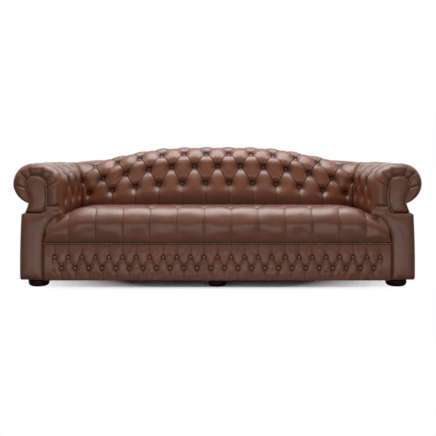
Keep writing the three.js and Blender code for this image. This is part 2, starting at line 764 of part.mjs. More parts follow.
function seatCover() {
  const step = SEAT_PITCH / 4;
  const columns = [];
  for (let x = step; x < seatEnd - step / 4; x += step) columns.push(-x, x);
  columns.push(0, seatEnd - CLEARANCE, CLEARANCE - seatEnd);
  columns.sort((a, b) => a - b);
  const outer = columns.map((x) => seatOutline(x, seatTuft(x)));
  const under = SEAT_JOINT - OVERRUN;
  const hollow = seatCoreStations.map((x) => seatOutline(x, () => SEAT_COVER_THICKNESS, under));
  let body = solidOf(skin(outer, [1, 2])).subtract(solidOf(skin(hollow, [1, 2])));
  for (const side of [-1, 1]) {
    const inner = side * (armCrown - SOFT_CLEARANCE);
    const outerX = side * (seatEnd + OVERRUN);
    const arm = block(Math.min(inner, outerX), Math.max(inner, outerX), lipBack, DEPTH, 0, ARM_HEIGHT);
    body = body.subtract(solidOf(arm));
  }
  return geometryOf(body);
}

const platformBottom = RAIL_TOP + CLEARANCE * 2 + SPRING_WIRE;
const platformTop = platformBottom + PLATFORM_THICKNESS;

function seatFoam() {
  const inset = CLEARANCE;
  const shift = (x) => x - Math.sign(x) * inset;
  const outlines = seatCoreStations.map((x) => seatOutline(
    shift(x), () => SEAT_COVER_THICKNESS + inset, platformTop + CLEARANCE));
  return skin(outlines, [1, 2]);
}

add('seat_cover', seatCover(), LEATHER);
add('seat_foam', seatFoam(), FOAM);

// Front border

const borderEnd = seatEnd - BORDER_GAP;
const borderBack = armFront + BORDER_LAP;

function frontBorder() {
  const face = seatFront + SEAT_TUCK;
  const crown = borderBack - BORDER_PAD;
  const top = SEAT_JOINT - CLEARANCE / 2;
  const rows = [
    [BASE_CLEARANCE, face + BORDER_ROUND],
    [BASE_CLEARANCE + BORDER_ROUND, face],
    [BASE_CLEARANCE + BORDER_ROUND * 2.5, crown],
    [BORDER_LOWER_ROW, crown],
    [(BORDER_LOWER_ROW + BORDER_UPPER_ROW) / 2, crown],
    [BORDER_UPPER_ROW, crown],
    [top - SEAT_LAP - BORDER_ROUND * 2, crown],
    [top - SEAT_LAP, face],
    [top, face],
  ];
  const net = { pitch: BORDER_PITCH, first: BORDER_PITCH / 2, rows: [BORDER_LOWER_ROW, BORDER_UPPER_ROW] };
  const columns = [];
  const step = BORDER_PITCH / 2;
  for (let x = step; x < borderEnd - step / 2; x += step) columns.push(-x, x);
  columns.push(0, borderEnd, -borderEnd);
  columns.sort((a, b) => a - b);
  const outlines = columns.map((x) => {
    const ends = Math.abs(x) === borderEnd ? 0 : 1;
    const points = rows.map(([z, y]) => {
      const raised = y === crown ? 1 : 0;
      const depth = ends * raised * BORDER_TUFT_DEPTH * tuftShare(x, z, net);
      return [x, y + depth, z, depth];
    });
    return [...points, [x, borderBack, top], [x, borderBack, BASE_CLEARANCE]];
  });
  return skin(outlines, [1, 2]);
}

add('front_border', frontBorder(), LEATHER);

// Arm fronts

function armFrontShape() {
  const outer = armCrown + PANEL_FOOT_OUT;
  const top = armCrown + PANEL_TOP_OUT;
  const inner = armCrown - PANEL_INNER_IN;
  const gap = SOFT_CLEARANCE;
  const straight = seatEnd - SEAT_END_RUN;
  const endRun = SEAT_END_RUN + gap;
  const endRise = SEAT_HEIGHT - SEAT_JOINT + gap;
  const meets = Math.acos((inner - straight) / endRun);
  const shape = new THREE.Shape();
  shape.moveTo(straight + endRun, BASE_CLEARANCE);
  shape.lineTo(outer - PANEL_CORNER, BASE_CLEARANCE);
  shape.quadraticCurveTo(outer, BASE_CLEARANCE, outer, BASE_CLEARANCE + PANEL_CORNER);
  shape.lineTo(top, shoulderTop - PANEL_CORNER);
  shape.quadraticCurveTo(top, shoulderTop, top - PANEL_CORNER, shoulderTop);
  shape.lineTo(facingFootInX, shoulderTop);
  const besideFacing = facingCurve.getSpacedPoints(OUTLINE_STEPS * 2).filter((p) => p.x < facingHeadX);
  const swoop = besideFacing.filter((p) => p.y > facingFoot && p.y < foldHeight);
  swoop.forEach((p) => shape.lineTo(p.x - FACING_GAP, p.y));
  shape.lineTo(Math.min(facingFootInX, ...swoop.map((p) => p.x)) - FACING_GAP, foldHeight);
  shape.lineTo(inner, foldHeight);
  shape.lineTo(inner, SEAT_JOINT + endRise * Math.sin(meets));
  shape.absellipse(straight, SEAT_JOINT, endRun, endRise, meets, 0, true, 0);
  shape.closePath();
  return shape;
}

function armFrontPanel() {
  return paddedSlab(armFrontShape(), armFront, panelBack, PANEL_EDGE, 0);
}

function scrollFacing() {
  return paddedSlab(facingShape, armFront, panelBack, FACING_EDGE, CLEARANCE);
}

addPair('arm_front_panel', armFrontPanel(), LEATHER);
addPair('scroll_facing', scrollFacing(), LEATHER);

// Nail trim: half-round strips over the joints

function trimSection() {
  return TRIM_SHARES.map(([side, rise]) => [side * TRIM_WIDTH / 2, rise * TRIM_HEIGHT]);
}

function facingTrim() {
  const open = facingCurve.getSpacedPoints(OUTLINE_STEPS);
  const footShares = Array.from({ length: TRIM_FOOT_STEPS }, (_, k) => (k + 1) / (TRIM_FOOT_STEPS + 1));
  const foot = footShares.map((share) => open.at(-1).clone().lerp(open[0], share));
  const path = [...open, ...foot];
  const back = armFront - CLEARANCE;
  const outlines = path.map((p, index) => {
    const along = path[(index + 1) % path.length].clone().sub(path.at(index - 1)).normalize();
    return trimSection().map(([side, rise]) => [p.x + along.y * side, back - rise, p.y - along.x * side]);
  });
  return skin(outlines, null, true);
}

function frontTrim() {
  const back = seatFront + SEAT_TUCK - CLEARANCE;
  const outlines = [-borderEnd, borderEnd].map((x) => trimSection().map(
    ([side, rise]) => [x, back - rise, SEAT_JOINT + side]));
  return skin(outlines, [1, 2]);
}

addPair('facing_trim', facingTrim(), BRONZE);
add('front_trim', frontTrim(), BRONZE);

// Outer panels: a thin wall with a neck under the roll, a shoulder and a base

function outerWall(withNeck) {
  const cut = PANEL_CORNER * (1 - Math.SQRT1_2);
  const under = shoulderTop - PANEL_THICKNESS;
  const neckFace = PANEL_NECK_OUT - NECK_THICKNESS;
  const behindNeck = PANEL_NECK_OUT + CLEARANCE;
  const shoulder = [
    [PANEL_SHOULDER_OUT, shoulderTop],
    [PANEL_TOP_OUT - PANEL_CORNER, shoulderTop],
    [PANEL_TOP_OUT - cut, shoulderTop - cut],
    [PANEL_TOP_OUT, shoulderTop - PANEL_CORNER],
    [PANEL_FOOT_OUT, BASE_CLEARANCE + PANEL_CORNER],
    [PANEL_FOOT_OUT - cut, BASE_CLEARANCE + cut],
    [PANEL_FOOT_OUT - PANEL_CORNER, BASE_CLEARANCE],
    [PANEL_TOP_OUT - PANEL_THICKNESS, BASE_CLEARANCE],
    [PANEL_TOP_OUT - PANEL_THICKNESS, under],
  ];
  const neck = [
    [neckFace, under],
    [neckFace, neckTop],
    [PANEL_NECK_OUT, neckTop],
    [PANEL_NECK_OUT, shoulderTop],
  ];
  return [...shoulder, ...(withNeck ? neck : [[behindNeck, under], [behindNeck, shoulderTop]])];
}

function outsideArm() {
  const ends = [panelBack + CLEARANCE, DEPTH];
  const body = skin(ends.map((y) => outerWall(true).map(([n, z]) => [armCrown + n, y, z])), [0, 2]);
  return geometryOf(solidOf(body).subtract(dropBackSide));
}

function rearBorder() {
  const outlines = [-WIDTH, WIDTH].map((x) => outerWall(false).map(([n, z]) => [x, backCrown + n, z]));
  return geometryOf(cutToBack(solidOf(skin(outlines, [1, 2]))));
}

function outsideBack() {
  const [front, rear] = [PANEL_NECK_OUT - NECK_THICKNESS, PANEL_NECK_OUT].map((n) => backCrown + n);
  const low = shoulderTop - PANEL_THICKNESS;
  const step = BACK_PITCH / 2;
  const half = Math.ceil(WIDTH / 2 / step);
  const places = Array.from({ length: half * 2 + 1 }, (_, k) => (k - half) * step);
  const outlines = places.map((x) => {
    const top = camelTop(x) - neckDrop;
    return [[x, front, low], [x, front, top], [x, rear, top], [x, rear, low]];
  });
  return geometryOf(cutToBack(solidOf(skin(outlines, [1, 2]))));
}

addPair('outside_arm', outsideArm(), LEATHER);
add('outside_back', outsideBack(), LEATHER);
add('rear_border', rearBorder(), LEATHER);

// Frame

const sideRailInX = armCrown + neckInside + CLEARANCE;
const sideRailOutX = armCrown + baseInside;
const postInX = armCrown + rollRailIn;
const postOutX = armCrown + neckInside;
const rollRailBottom = ARM_HEIGHT - rollRailDrop;
const frontRailFront = borderBack + CLEARANCE;
const frontRailBack = frontRailFront + RAIL_THICKNESS;
const backRailFront = ribBack + CLEARANCE;
const backRailBack = backCrown + baseInside;
const rearRailBack = backCrown + ribFront - CLEARANCE;
const rearRailFront = rearRailBack - REAR_RAIL_WIDTH;
const boardInX = seatEnd + SOFT_CLEARANCE;

const boardRear = boardBack + CLEARANCE;
const frontRailEnd = boardInX - CLEARANCE;
const backRailEnd = sideRailInX - CLEARANCE;
const postTop = rollRailBottom - CLEARANCE;

add('front_rail', block(
  -frontRailEnd, frontRailEnd, frontRailFront, frontRailBack, RAIL_BOTTOM, RAIL_TOP), BEECH);
add('back_rail', block(
  -backRailEnd, backRailEnd, backRailFront, backRailBack, RAIL_BOTTOM, BASE_RAIL_TOP), BEECH);
addPair('side_rail', block(
  sideRailInX, sideRailOutX, boardRear, backRailBack, RAIL_BOTTOM, BASE_RAIL_TOP), BEECH);
addPair('front_post', block(
  postInX, postOutX, boardRear, boardBack + POST_DEPTH, RAIL_BOTTOM, postTop), BEECH);
addPair('rear_post', block(
  postInX, postOutX, backCrown + rollRailIn, ribBack, RAIL_BOTTOM, postTop), BEECH);
addPair('arm_roll_rail', block(
  postInX, armCrown + rollRailOut, boardRear, backCrown + rollRailIn - CLEARANCE,
  rollRailBottom, rollRailBottom + ROLL_RAIL), BEECH);

// The plywood board that gives the arm front its scroll, shaped to clear the end of the seat
function scrollBoard() {
  const front = panelBack + CLEARANCE;
  const head = slab(facingInset(BOARD_INSET + CLEARANCE), front, boardBack);
  const base = block(boardInX, sideRailOutX, front, boardBack, RAIL_BOTTOM, facingFoot);
  const shoulder = block(
    postOutX, WIDTH / 2, panelBack, boardBack + OVERRUN,
    shoulderTop - PANEL_THICKNESS - CLEARANCE, neckTop + CLEARANCE);
  return geometryOf(solidOf(head).add(solidOf(base)).subtract(solidOf(shoulder)));
}

addPair('scroll_board', scrollBoard(), PLYWOOD);

function backRollRail() {
  const [front, rear] = [rollRailIn, rollRailOut].map((n) => backCrown + n);
  const end = armCrown + rollRailOut;
  const places = stations.map((x) => THREE.MathUtils.clamp(x, -end, end));
  const outlines = places.map((x) => {
    const low = camelTop(x) - rollRailDrop;
    return [[x, front, low], [x, front, low + ROLL_RAIL], [x, rear, low + ROLL_RAIL], [x, rear, low]];
  });
  return skin(outlines, [1, 2]);
}

add('back_roll_rail', backRollRail(), BEECH);

// The roll rail is straight from station to station
function railLine(x) {
  const next = stations.findIndex((place) => place > x);
  const [from, to] = [stations[next - 1], stations[next]];
  return THREE.MathUtils.mapLinear(x, from, to, camelTop(from), camelTop(to));
}

// Ribs stand on the floor of the frame, carry the roll rail and hold the webbing
function backRib(x) {
  const top = Math.min(...[-1, 1].map((side) => railLine(x + side * RIB_THICKNESS / 2)));
  const head = top - RIB_HEAD_DROP;
  const seatOfRail = top - rollRailDrop - CLEARANCE;
  const front = backCrown + ribFront;
  const notch = backCrown + rollRailIn - CLEARANCE;
  const shape = [
    [front, RAIL_BOTTOM], [front, head], [notch, head], [notch, seatOfRail], [ribBack, seatOfRail],
    [ribBack, RAIL_BOTTOM],
  ];
  const sides = [-RIB_THICKNESS / 2, RIB_THICKNESS / 2];
  return skin(sides.map((side) => shape.map(([y, z]) => [side, y, z])), [1, 2]);
}

for (const [side, place] of [['left', -1], ['centre', 0], ['right', 1]]) {
  const x = place * RIB_SPACING;
  add(`back_rib_${side}`, backRib(x), PLYWOOD).position.x = x;
}

add('seat_rear_rail', block(
  -backRailEnd, backRailEnd, rearRailFront, rearRailBack, REAR_RAIL_BOTTOM, RAIL_TOP), BEECH);
add('back_tack_rail', block(
  -postInX, postInX, rearRailBack - TACK_RAIL_WIDTH, rearRailBack,
  RAIL_TOP + CLEARANCE, COVER_BASE - CLEARANCE), BEECH);
addPair('arm_tack_rail', block(
  armCrown + coreDepth + CLEARANCE, armCrown + coreDepth + TACK_RAIL_WIDTH, boardRear,
  rearRailBack - TACK_RAIL_WIDTH - CLEARANCE, RAIL_TOP + CLEARANCE, TACK_RAIL_TOP), BEECH);

function seatBearer() {
  return block(
    -BEARER_WIDTH / 2, BEARER_WIDTH / 2, frontRailBack + CLEARANCE, rearRailFront - CLEARANCE,
    REAR_RAIL_BOTTOM, BEARER_TOP);
}

for (const [side, place] of [['left', -1 / 2], ['right', 1 / 2]]) {
  add(`seat_bearer_${side}`, seatBearer(), BEECH).position.x = place * BEARER_SPACING;
}

function cornerBlock() {
  const [x, y] = [postInX - CLEARANCE, frontRailBack + CLEARANCE];
  const plan = [[x, y], [x - BLOCK_LEG, y], [x, y + BLOCK_LEG]];
  const levels = [BASE_RAIL_TOP - BLOCK_LEG, BASE_RAIL_TOP];
  return skin(levels.map((z) => plan.map(([px, py]) => [px, py, z])), [0, 1]);
}

addPair('corner_block', cornerBlock(), BEECH);

// Springs, platform and webbing

function seatSpring() {
  const front = frontRailFront + SPRING_END_INSET;
  const rear = rearRailBack - TACK_RAIL_WIDTH - SPRING_END_INSET;
  const steps = SPRING_WAVES * SPRING_WAVE_STEPS;
  const radius = SPRING_WIRE / 2;
  const place = (k) => {
    const share = k / steps;
    return [SPRING_SWING * Math.sin(share * SPRING_WAVES * Math.PI * 2), front + share * (rear - front)];
  };
  const outlines = Array.from({ length: steps + 1 }, (_, k) => {
    const [x, y] = place(k);
    const [x0, y0] = place(k - 0.5);
    const [x1, y1] = place(k + 0.5);
    const length = Math.hypot(x1 - x0, y1 - y0);
    const side = [(y1 - y0) / length, -(x1 - x0) / length];
    return [[1, 0], [0, 1], [-1, 0], [0, -1]].map(([across, up]) => [
      x + side[0] * across * radius, y + side[1] * across * radius, up * radius,
    ]);
  });
  return skin(outlines, [0, 2]);
}

for (let k = 0; k < SPRING_COUNT; k++) {
  const spring = add(`seat_spring_${k + 1}`, seatSpring(), SPRING_STEEL);
  const z = RAIL_TOP + CLEARANCE + SPRING_WIRE / 2;
  spring.position.set((k - (SPRING_COUNT - 1) / 2) * SPRING_SPACING, 0, z);
}

add('seat_platform', block(
  PLATFORM_MARGIN - armCrown, armCrown - PLATFORM_MARGIN,
  seatFront + SEAT_TUCK + SEAT_COVER_THICKNESS + CLEARANCE,
  backCrown + leanOffset(0, 1) - PLATFORM_MARGIN, platformBottom, platformTop), JUTE);

const webbingEnd = RIB_SPACING + RIB_THICKNESS / 2;
const webbingBack = backCrown + ribFront - CLEARANCE;
WEBBING_SHARES.forEach((share, index) => {
  const z = share * ARM_HEIGHT;
  add(`back_webbing_${index + 1}`, block(
    -webbingEnd, webbingEnd, webbingBack - WEBBING_THICKNESS, webbingBack,
    z - WEBBING_WIDTH / 2, z + WEBBING_WIDTH / 2), JUTE);
});

// Feet and dust cover

function bunFoot(width) {
  const bulge = FOOT_PROFILE_SHARES.map(([out, up]) => new THREE.Vector2(out * width / 2, up * footHeight));
  const profile = [new THREE.Vector2(0, 0), ...bulge, new THREE.Vector2(0, footHeight)];
  const foot = new THREE.LatheGeometry(profile, FOOT_STEPS);
  foot.rotateX(Math.PI / 2);
  return geometryOf(solidOf(foot));
}

const feet = [];
for (const [side, place] of [['left', -1], ['centre', 0], ['right', 1]]) {
  for (const [row, y] of [['front', FOOT_INSET_FRONT - DEPTH / 2], ['rear', DEPTH / 2 - FOOT_INSET_BACK]]) {
    const width = place === 0 ? FOOT_CENTRE_WIDTH : FOOT_WIDTH;
    const x = place * (WIDTH / 2 - FOOT_INSET_X);
    feet.push({ x, y, neck: width / 2 * FOOT_NECK_SHARE });
    add(`foot_${row}_${side}`, bunFoot(width), MAHOGANY).position.set(x, y, 0);
  }
}

function dustCover() {
  const x = sideRailOutX;
  const top = RAIL_BOTTOM - CLEARANCE;
  let sheet = solidOf(block(-x, x, boardBack, backRailBack, top - DUST_COVER_THICKNESS, top));
  for (const foot of feet) {
    const hole = new THREE.CylinderGeometry(
      foot.neck + SOFT_CLEARANCE, foot.neck + SOFT_CLEARANCE, OVERRUN, FOOT_STEPS);
    hole.rotateX(Math.PI / 2);
    hole.translate(foot.x, foot.y, top);
    sheet = sheet.subtract(solidOf(hole));
  }
  return geometryOf(sheet);
}

add('dust_cover', dustCover(), LINING);

export default sofa;
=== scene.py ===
"""The looks of a deep-buttoned camelback sofa: antiqued leather, nail trim, covered buttons and bun feet.

Metres, +Z up, +Y towards the back, origin on the floor under the middle of the sofa.
"""

import math
from functools import partial
from typing import NamedTuple

import bmesh
import bpy
import numpy as np
from bpy.props import FloatProperty, FloatVectorProperty, IntProperty, PointerProperty
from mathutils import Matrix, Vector
from mathutils.geometry import delaunay_2d_cdt


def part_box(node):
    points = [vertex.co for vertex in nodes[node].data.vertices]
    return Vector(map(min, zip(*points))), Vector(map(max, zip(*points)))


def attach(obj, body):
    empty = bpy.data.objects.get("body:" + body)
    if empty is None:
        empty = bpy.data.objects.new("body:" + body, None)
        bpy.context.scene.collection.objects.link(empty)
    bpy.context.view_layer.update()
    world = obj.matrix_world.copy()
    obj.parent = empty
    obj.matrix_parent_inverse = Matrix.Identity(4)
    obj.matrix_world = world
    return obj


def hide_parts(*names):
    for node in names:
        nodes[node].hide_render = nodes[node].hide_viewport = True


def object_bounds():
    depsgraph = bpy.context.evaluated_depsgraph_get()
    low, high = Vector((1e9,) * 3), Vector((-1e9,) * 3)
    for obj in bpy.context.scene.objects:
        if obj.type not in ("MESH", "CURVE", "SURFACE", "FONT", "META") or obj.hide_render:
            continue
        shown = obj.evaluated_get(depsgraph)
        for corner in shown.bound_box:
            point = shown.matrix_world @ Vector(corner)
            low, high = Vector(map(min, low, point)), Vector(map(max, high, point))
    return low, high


bl_info = {
    "name": "Camelback sofa",
    "version": (1, 0, 0),
    "blender": (4, 5, 0),
    "location": "View3D > Sidebar > Sofa",
    "description": "Dresses a camelback sofa in buttoned leather, nails, buttons and turned feet",
    "category": "Object",
}

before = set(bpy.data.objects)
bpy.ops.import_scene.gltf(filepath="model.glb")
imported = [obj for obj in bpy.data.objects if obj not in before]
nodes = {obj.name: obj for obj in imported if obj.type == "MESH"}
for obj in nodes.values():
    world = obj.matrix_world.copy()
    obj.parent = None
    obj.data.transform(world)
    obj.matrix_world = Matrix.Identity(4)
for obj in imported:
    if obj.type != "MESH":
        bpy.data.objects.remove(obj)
cad_low, cad_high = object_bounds()

BODY = "root"
MM = 0.001
SIDES = (("right", 1), ("left", -1))
UPWARD = (0, 0, 1)
FORWARD = (0, -1, 0)
BACKWARD = (0, 1, 0)

# Grid cells from row to row of buttons, and grid columns from the last buttons to a mitre
CELLS = 16
BORDER_CELLS = 12
CORNER_COLUMNS = 20

# How the leather's marks count: the lightest rubbed lip, lighter from wear and as a painted highlight, the
# reach of a groove, and how much of it shows, as a sunk bump and as painted shade along the crease
RUB_AND_HIGHLIGHT = 0.3
GROOVE_REACH = 0.03
SEAT_GROOVE = 0.95
BORDER_GROOVE = 0.91
RING_GROOVE = 0.95

# Creases along the folds, the lips beside them and the gathers round the pits: how wide and how far off
CREASE_WIDTH = 0.004
LIP_OUT = 0.009
LIP_WIDTH = 0.004
GATHER_OUT = 0.028
GATHER_REACH = 0.012
GATHER_SIZE = 0.013

# Share of the pit's depth at which a button sits, also in the corner where arm and back meet. The border's
# buttons sit this far in front of the nailed joint.
BUTTON_SINK = 0.8
CORNER_SINK = 1.1
SEAT_BUTTON_SINK = 0.84
BORDER_BUTTON_OUT = 0.0038

# Rise of a covered button as a share of its width, and its fold mark: painted shade in the wells, and on the
# border a lighter colour, partly rubbed wear and partly a painted highlight
BUTTON_RISE = 0.3
BORDER_BUTTON_RISE = 0.42
WELL_BUTTON_SHADE = 0.4
BORDER_BUTTON_RUB_AND_HIGHLIGHT = -0.16

# The curve of the inside leather towards the seat, measured down from the lowest buttons
TUCK_START = 0.04
TUCK_RUN = 0.105

# The last arm pit ahead of the mitre, and the pit of the back that lies on the arm's foam
BACK_LAST_PIT = 0.064
PIT_OVER_FOAM = (0.873, 0.242, 0.698)
FOAM_LIFT = (0, -0.0115, 0.0115)
FOAM_LIFT_REACH = 0.042

# Arm fronts: how far they stand behind the sofa's front, and the leather drawn in round the facing. The
# pleats' places are shares of the way round, and ROUND_BLEND is how far the rounded edge is drawn in.
FRONT_INSET = 0.02
PLEAT_SHARES = (0.27, 0.352, 0.449, 0.58, 0.665, 0.782)
PLEAT_RISE = 0.0035
PUFF_RISE = 0.0035
PUFF_REACH = 0.024
RING_BULGE = 0.0095
ROUND_BLEND = 0.45

# The scroll facing, outwards from the arm's inside face and above the floor
FACING_HEAD = (0.153, 0.615)
FACING_HEAD_RADIUS = 0.063
FACING_WAIST = (0.084, 0.19, 0.5419)
FACING_FOOT = (0.112, 0.214, 0.452)

# Seat and border: where they end, where their last buttons lie, and the rounding of their ends and edges
ARM_FRONT_INNER = 1.056
SEAT_INSIDE = 0.93
SEAT_BACK = 0.19
END_POWER = 2.12
BASE_CLEARANCE = 0.042
BORDER_LAST = 0.993
BORDER_PAD = 0.012
BORDER_EDGE = 0.0155
BORDER_END = 0.012
BORDER_OVERLAP = 0.003
JOINT_SHADE = 0.0085

# Plain panels, outwards from the inside faces and above the floor
FOLD_HEIGHT = 0.489
FOLD_INNER = 0.014
PANEL_CORNER = 0.013
PANEL_INNER_IN = 0.006
PANEL_FOOT_OUT = 0.256
PANEL_TOP_OUT = 0.249
PANEL_SHOULDER_OUT = 0.21
PANEL_NECK_OUT = 0.197
PANEL_BACK = 0.0503
FRONT_CORNER = 0.024
TOP_CORNER = 0.036
SHOULDER_TOP = 0.451
NECK_TOP = 0.5122
NECK_TUCK = 0.006

# Arm fronts: how far the panel reaches behind the outside arm's edge, how far the facing stands before and
# behind the panel's face, their rounded edges, crowns and dark rims (painted shade along the edge with the
# antique finish), and the ridge down from the fold
PANEL_OVERLAP = 0.002
FACING_OUT = 0.002
FACING_BACK = 0.017
PANEL_EDGE = 0.013
PANEL_EDGE_SWELL = 0.016
PANEL_CROWN = 0.012
PANEL_RIM_SHADE = 0.35
FACING_EDGE = 0.007
FACING_CROWN = 0.01
FACING_RIM_SHADE = 0.95
SWOOP = ((0.05, 0.487), (0.054, 0.45), (0.105, 0.439))
SWOOP_RISE = 0.0035
SWOOP_WIDTH = 0.011

# Outside walls: spacing of their points up and along, the distance out at which their width is taken, their
# padding, and their drop to the seams at the ends
WALL_STEP_UP = 0.007
WALL_STEP_ALONG = 0.0075
WALL_MIDDLE = 0.2
WALL_PUFF = 0.0035
WALL_WAVE = 0.0016
NECK_WAVE = 0.001
SEAM_REACH = 0.007
SEAM_DROP = 0.003

# Spacing of the panels' points on the rim and inside it, and how far in the finer rings beside the rim lie
RIM_STEP = 0.004
PANEL_STEP = 0.0052
PANEL_RINGS = (0.0012, 0.0035, 0.0065)

# Nails: how far before the joint's ends they stop, how far in front of it and of the facing they stand, how
# far in from the facing's outline as a share of its size, and the dark band between their heads, whose
# near-black patina is also painted shade along the nailed joint
JOINT_END = 0.004
JOINT_OUT = 0.0025
FACING_NAILS_OUT = 0.001
NAIL_INSET = 0.02
BAND_LIFT = 0.002
FACING_BAND_SHARE = 0.85
BAND_SIDES = 10
BAND_RISE = 0.0016
BAND_PATINA_AND_SHADE = 1.0
PATINA_AND_SHADE = 0.03
PATINA_ROUGH = 0.75

# Radius and height of a bun foot, as shares of its node's half width and of its own height
FOOT_PROFILE = (
    (0.74, 0), (0.76, 0), (0.88, 0.07), (0.98, 0.2), (1.03, 0.4), (1.02, 0.56), (0.95, 0.68), (0.8, 0.72),
    (0.67, 0.73), (0.63, 0.75), (0.64, 0.78), (0.63, 0.82), (0.63, 1),
)
FOOT_HEIGHT = 0.0597
FOOT_OUT = 0.016

# Bevels of cut timber and of foam
EASED_EDGE = 0.0015
SOFT_EDGE = 0.004

# The slot of each inner part, by a word in its node's name
INNER_SLOTS = {
    "rail": "beech",
    "post": "beech",
    "bearer": "beech",
    "block": "beech",
    "board": "plywood",
    "rib": "plywood",
    "spring": "spring_steel",
    "platform": "jute",
    "webbing": "jute",
    "dust": "lining",
}


class Leather(NamedTuple):
    """How a buttoned leather folds, and where its dark finish and painted shade gather."""

    valley: float  # share of the pit's depth in a fold, halfway between two buttons
    deep: float  # the same beside a button
    funnel: float  # reach of the steep part of a pit
    pleat: float  # share of depth that a pleat keeps past the outer buttons
    pleat_run: float  # run in which it falls to that
    crease: float  # depth of the fine crease along a fold
    lip: float  # rise of the lips beside it
    gather: float  # rise of the small gathers round a pit
    wave: float  # rise of the uneven padding
    wave_size: float  # width of its swells
    # The dark shares below are the antique finish together with painted shade in folds, creases and pits, and
    # the rubbed lips are also a painted highlight
    pit: float  # reach of the dark finish in a pit
    pit_power: float  # how sharply it ends
    fold_finish_and_shade: float  # share of dark finish in folds
    crease_finish_and_shade: float  # the same in creases
    pit_shade_and_finish: float  # the same in pits
    lip_rub_and_highlight: float  # how much the lips are rubbed


WALL_LEATHER = Leather(
    valley=0.15, deep=0.4, funnel=0.031, pleat=0.3, pleat_run=0.05,
    crease=0.0016, lip=0.0012, gather=0.0008, wave=0.0016, wave_size=0.19,
    pit=0.026, pit_power=2.5, fold_finish_and_shade=0.3, crease_finish_and_shade=0.15, pit_shade_and_finish=0.85, lip_rub_and_highlight=1.0,
)
SEAT_LEATHER = Leather(
    valley=0.3, deep=0.6, funnel=0.018, pleat=0.5, pleat_run=0.06,
    crease=0.0016, lip=0.0014, gather=0.0006, wave=0.002, wave_size=0.17,
    pit=0.014, pit_power=2.0, fold_finish_and_shade=0.25, crease_finish_and_shade=0.12, pit_shade_and_finish=0.5, lip_rub_and_highlight=1.2,
)
BORDER_LEATHER = Leather(
    valley=0.42, deep=0.55, funnel=0.015, pleat=0.45, pleat_run=0.03,
    crease=0.0008, lip=0.0007, gather=0.0004, wave=0.0008, wave_size=0.06,
    pit=0.0165, pit_power=3.0, fold_finish_and_shade=0.3, crease_finish_and_shade=0.1, pit_shade_and_finish=1.0, lip_rub_and_highlight=0.8,
)


class Net(NamedTuple):
    """Where the buttons lie: their pitch, the first one of the first row, and the rows."""

    pitch: float
    first: float
    rows: list


def linear(hex_colour):
    """An sRGB hex colour as linear red, green and blue."""
    channels = [int(hex_colour[i : i + 2], 16) / 255 for i in (1, 3, 5)]
    return [c / 12.92 if c <= 0.04045 else ((c + 0.055) / 1.055) ** 2.4 for c in channels]


def size_property(name, default, description, smallest=0.0):
    """A length in metres."""
    return FloatProperty(
        name=name, description=description, default=default, min=smallest, unit="LENGTH", precision=4
    )


def colour_property(name, hex_colour, description):
    """A colour given as sRGB hex and kept linear."""
    return FloatVectorProperty(
        name=name, description=description, default=linear(hex_colour), min=0, max=1, subtype="COLOR", size=3
    )


class SofaSection(bpy.types.PropertyGroup):
    """Sizes of the arms' and back's section and of their deep buttoning."""

    arm_height: size_property("Arm height", 0.752, "Top of the arms above the floor")
    cover_base: size_property("Cover base", 0.3, "Where the inside covers start, behind the seat")
    crown_radius: size_property("Crown radius", 0.128, "Round from the inside face to the top")
    roll_radius: size_property("Roll radius", 0.12, "Radius of the outward roll")
    roll_setback: size_property("Roll setback", 0.18, "From the inside face to the roll's centre")
    roll_turn: FloatProperty(
        name="Roll turn",
        description="How far the roll turns under",
        default=math.radians(172),
        subtype="ANGLE",
    )
    lean_foot: size_property("Lean", 0.061, "How far the back's foot stands forward of its top")
    lean_fade: size_property("Lean fade", 0.33, "Run over which the lean fades out towards the arms")
    foot_power: FloatProperty(name="Camel foot", description="Shape of the camel's foot", default=1.6)
    head_power: FloatProperty(name="Camel head", description="Shape of the camel's head", default=4.0)
    tuft_depth: size_property("Tuft depth", 0.042, "Depth of the button pits")
    tuck: size_property("Tuck", 0.026, "How far the inside leather curves in above the seat")
    first_row: size_property("First row", 0.301, "Run along the section to the lowest buttons")
    row_step: size_property("Row step", 0.1175, "Run from row to row")
    rows: IntProperty(name="Rows", description="Rows of buttons", default=5)
    back_pitch: size_property("Back pitch", 0.165, "From button to button along the back")
    fan: FloatProperty(name="Fan", description="How much closer the back's upper buttons stand", default=0.04)
    arm_pitch: size_property("Arm pitch", 0.208, "From button to button along the arms")
    arm_pad: size_property("Arm pad", 0.15, "Smooth padding in front of the first arm buttons")
    pad_swell: size_property("Pad swell", 0.01, "How far the front padding swells inwards")
    ring_round: size_property("Ring round", 0.055, "Run over which the arm cover rounds over to the facing")


class SofaSeat(bpy.types.PropertyGroup):
    """Sizes of the seat and of the border under it."""

    height: size_property("Seat height", 0.49, "Top of the seat's crown")
    joint: size_property("Seat joint", 0.266, "Height of the nailed joint between seat and border")
    nose_run: size_property("Nose run", 0.085, "Depth of the rounded front edge")
    nose_drop: size_property("Nose drop", 0.105, "Height of the rounded front edge")
    tuck: size_property("Tuck", 0.019, "How far the seat front draws in to the nails")
    crown: size_property("Crown", 0.008, "Rise of the seat's crown")
    fall: size_property("Fall", 0.03, "How much lower the seat lies at the back than at the front")
    end_run: size_property("End run", 0.3, "Half-width of the seat ends' quarter ellipse")
    tuft_depth: size_property("Tuft depth", 0.02, "Depth of the seat's button pits")
    first_row: size_property("First row", 0.127, "From the arm front to the first buttons")
    row_step: size_property("Row step", 0.115, "From row to row")
    rows: IntProperty(name="Rows", description="Rows of seat buttons", default=4)
    pitch: size_property("Pitch", 0.165, "From button to button")
    border_pitch: size_property("Border pitch", 0.0823, "From button to button along the border")
    border_upper: size_property("Upper row", 0.1815, "Height of the border's upper buttons")
    border_lower: size_property("Lower row", 0.116, "Height of the border's lower buttons")
    border_depth: size_property("Border tufts", 0.0125, "Depth of the border's button pits")


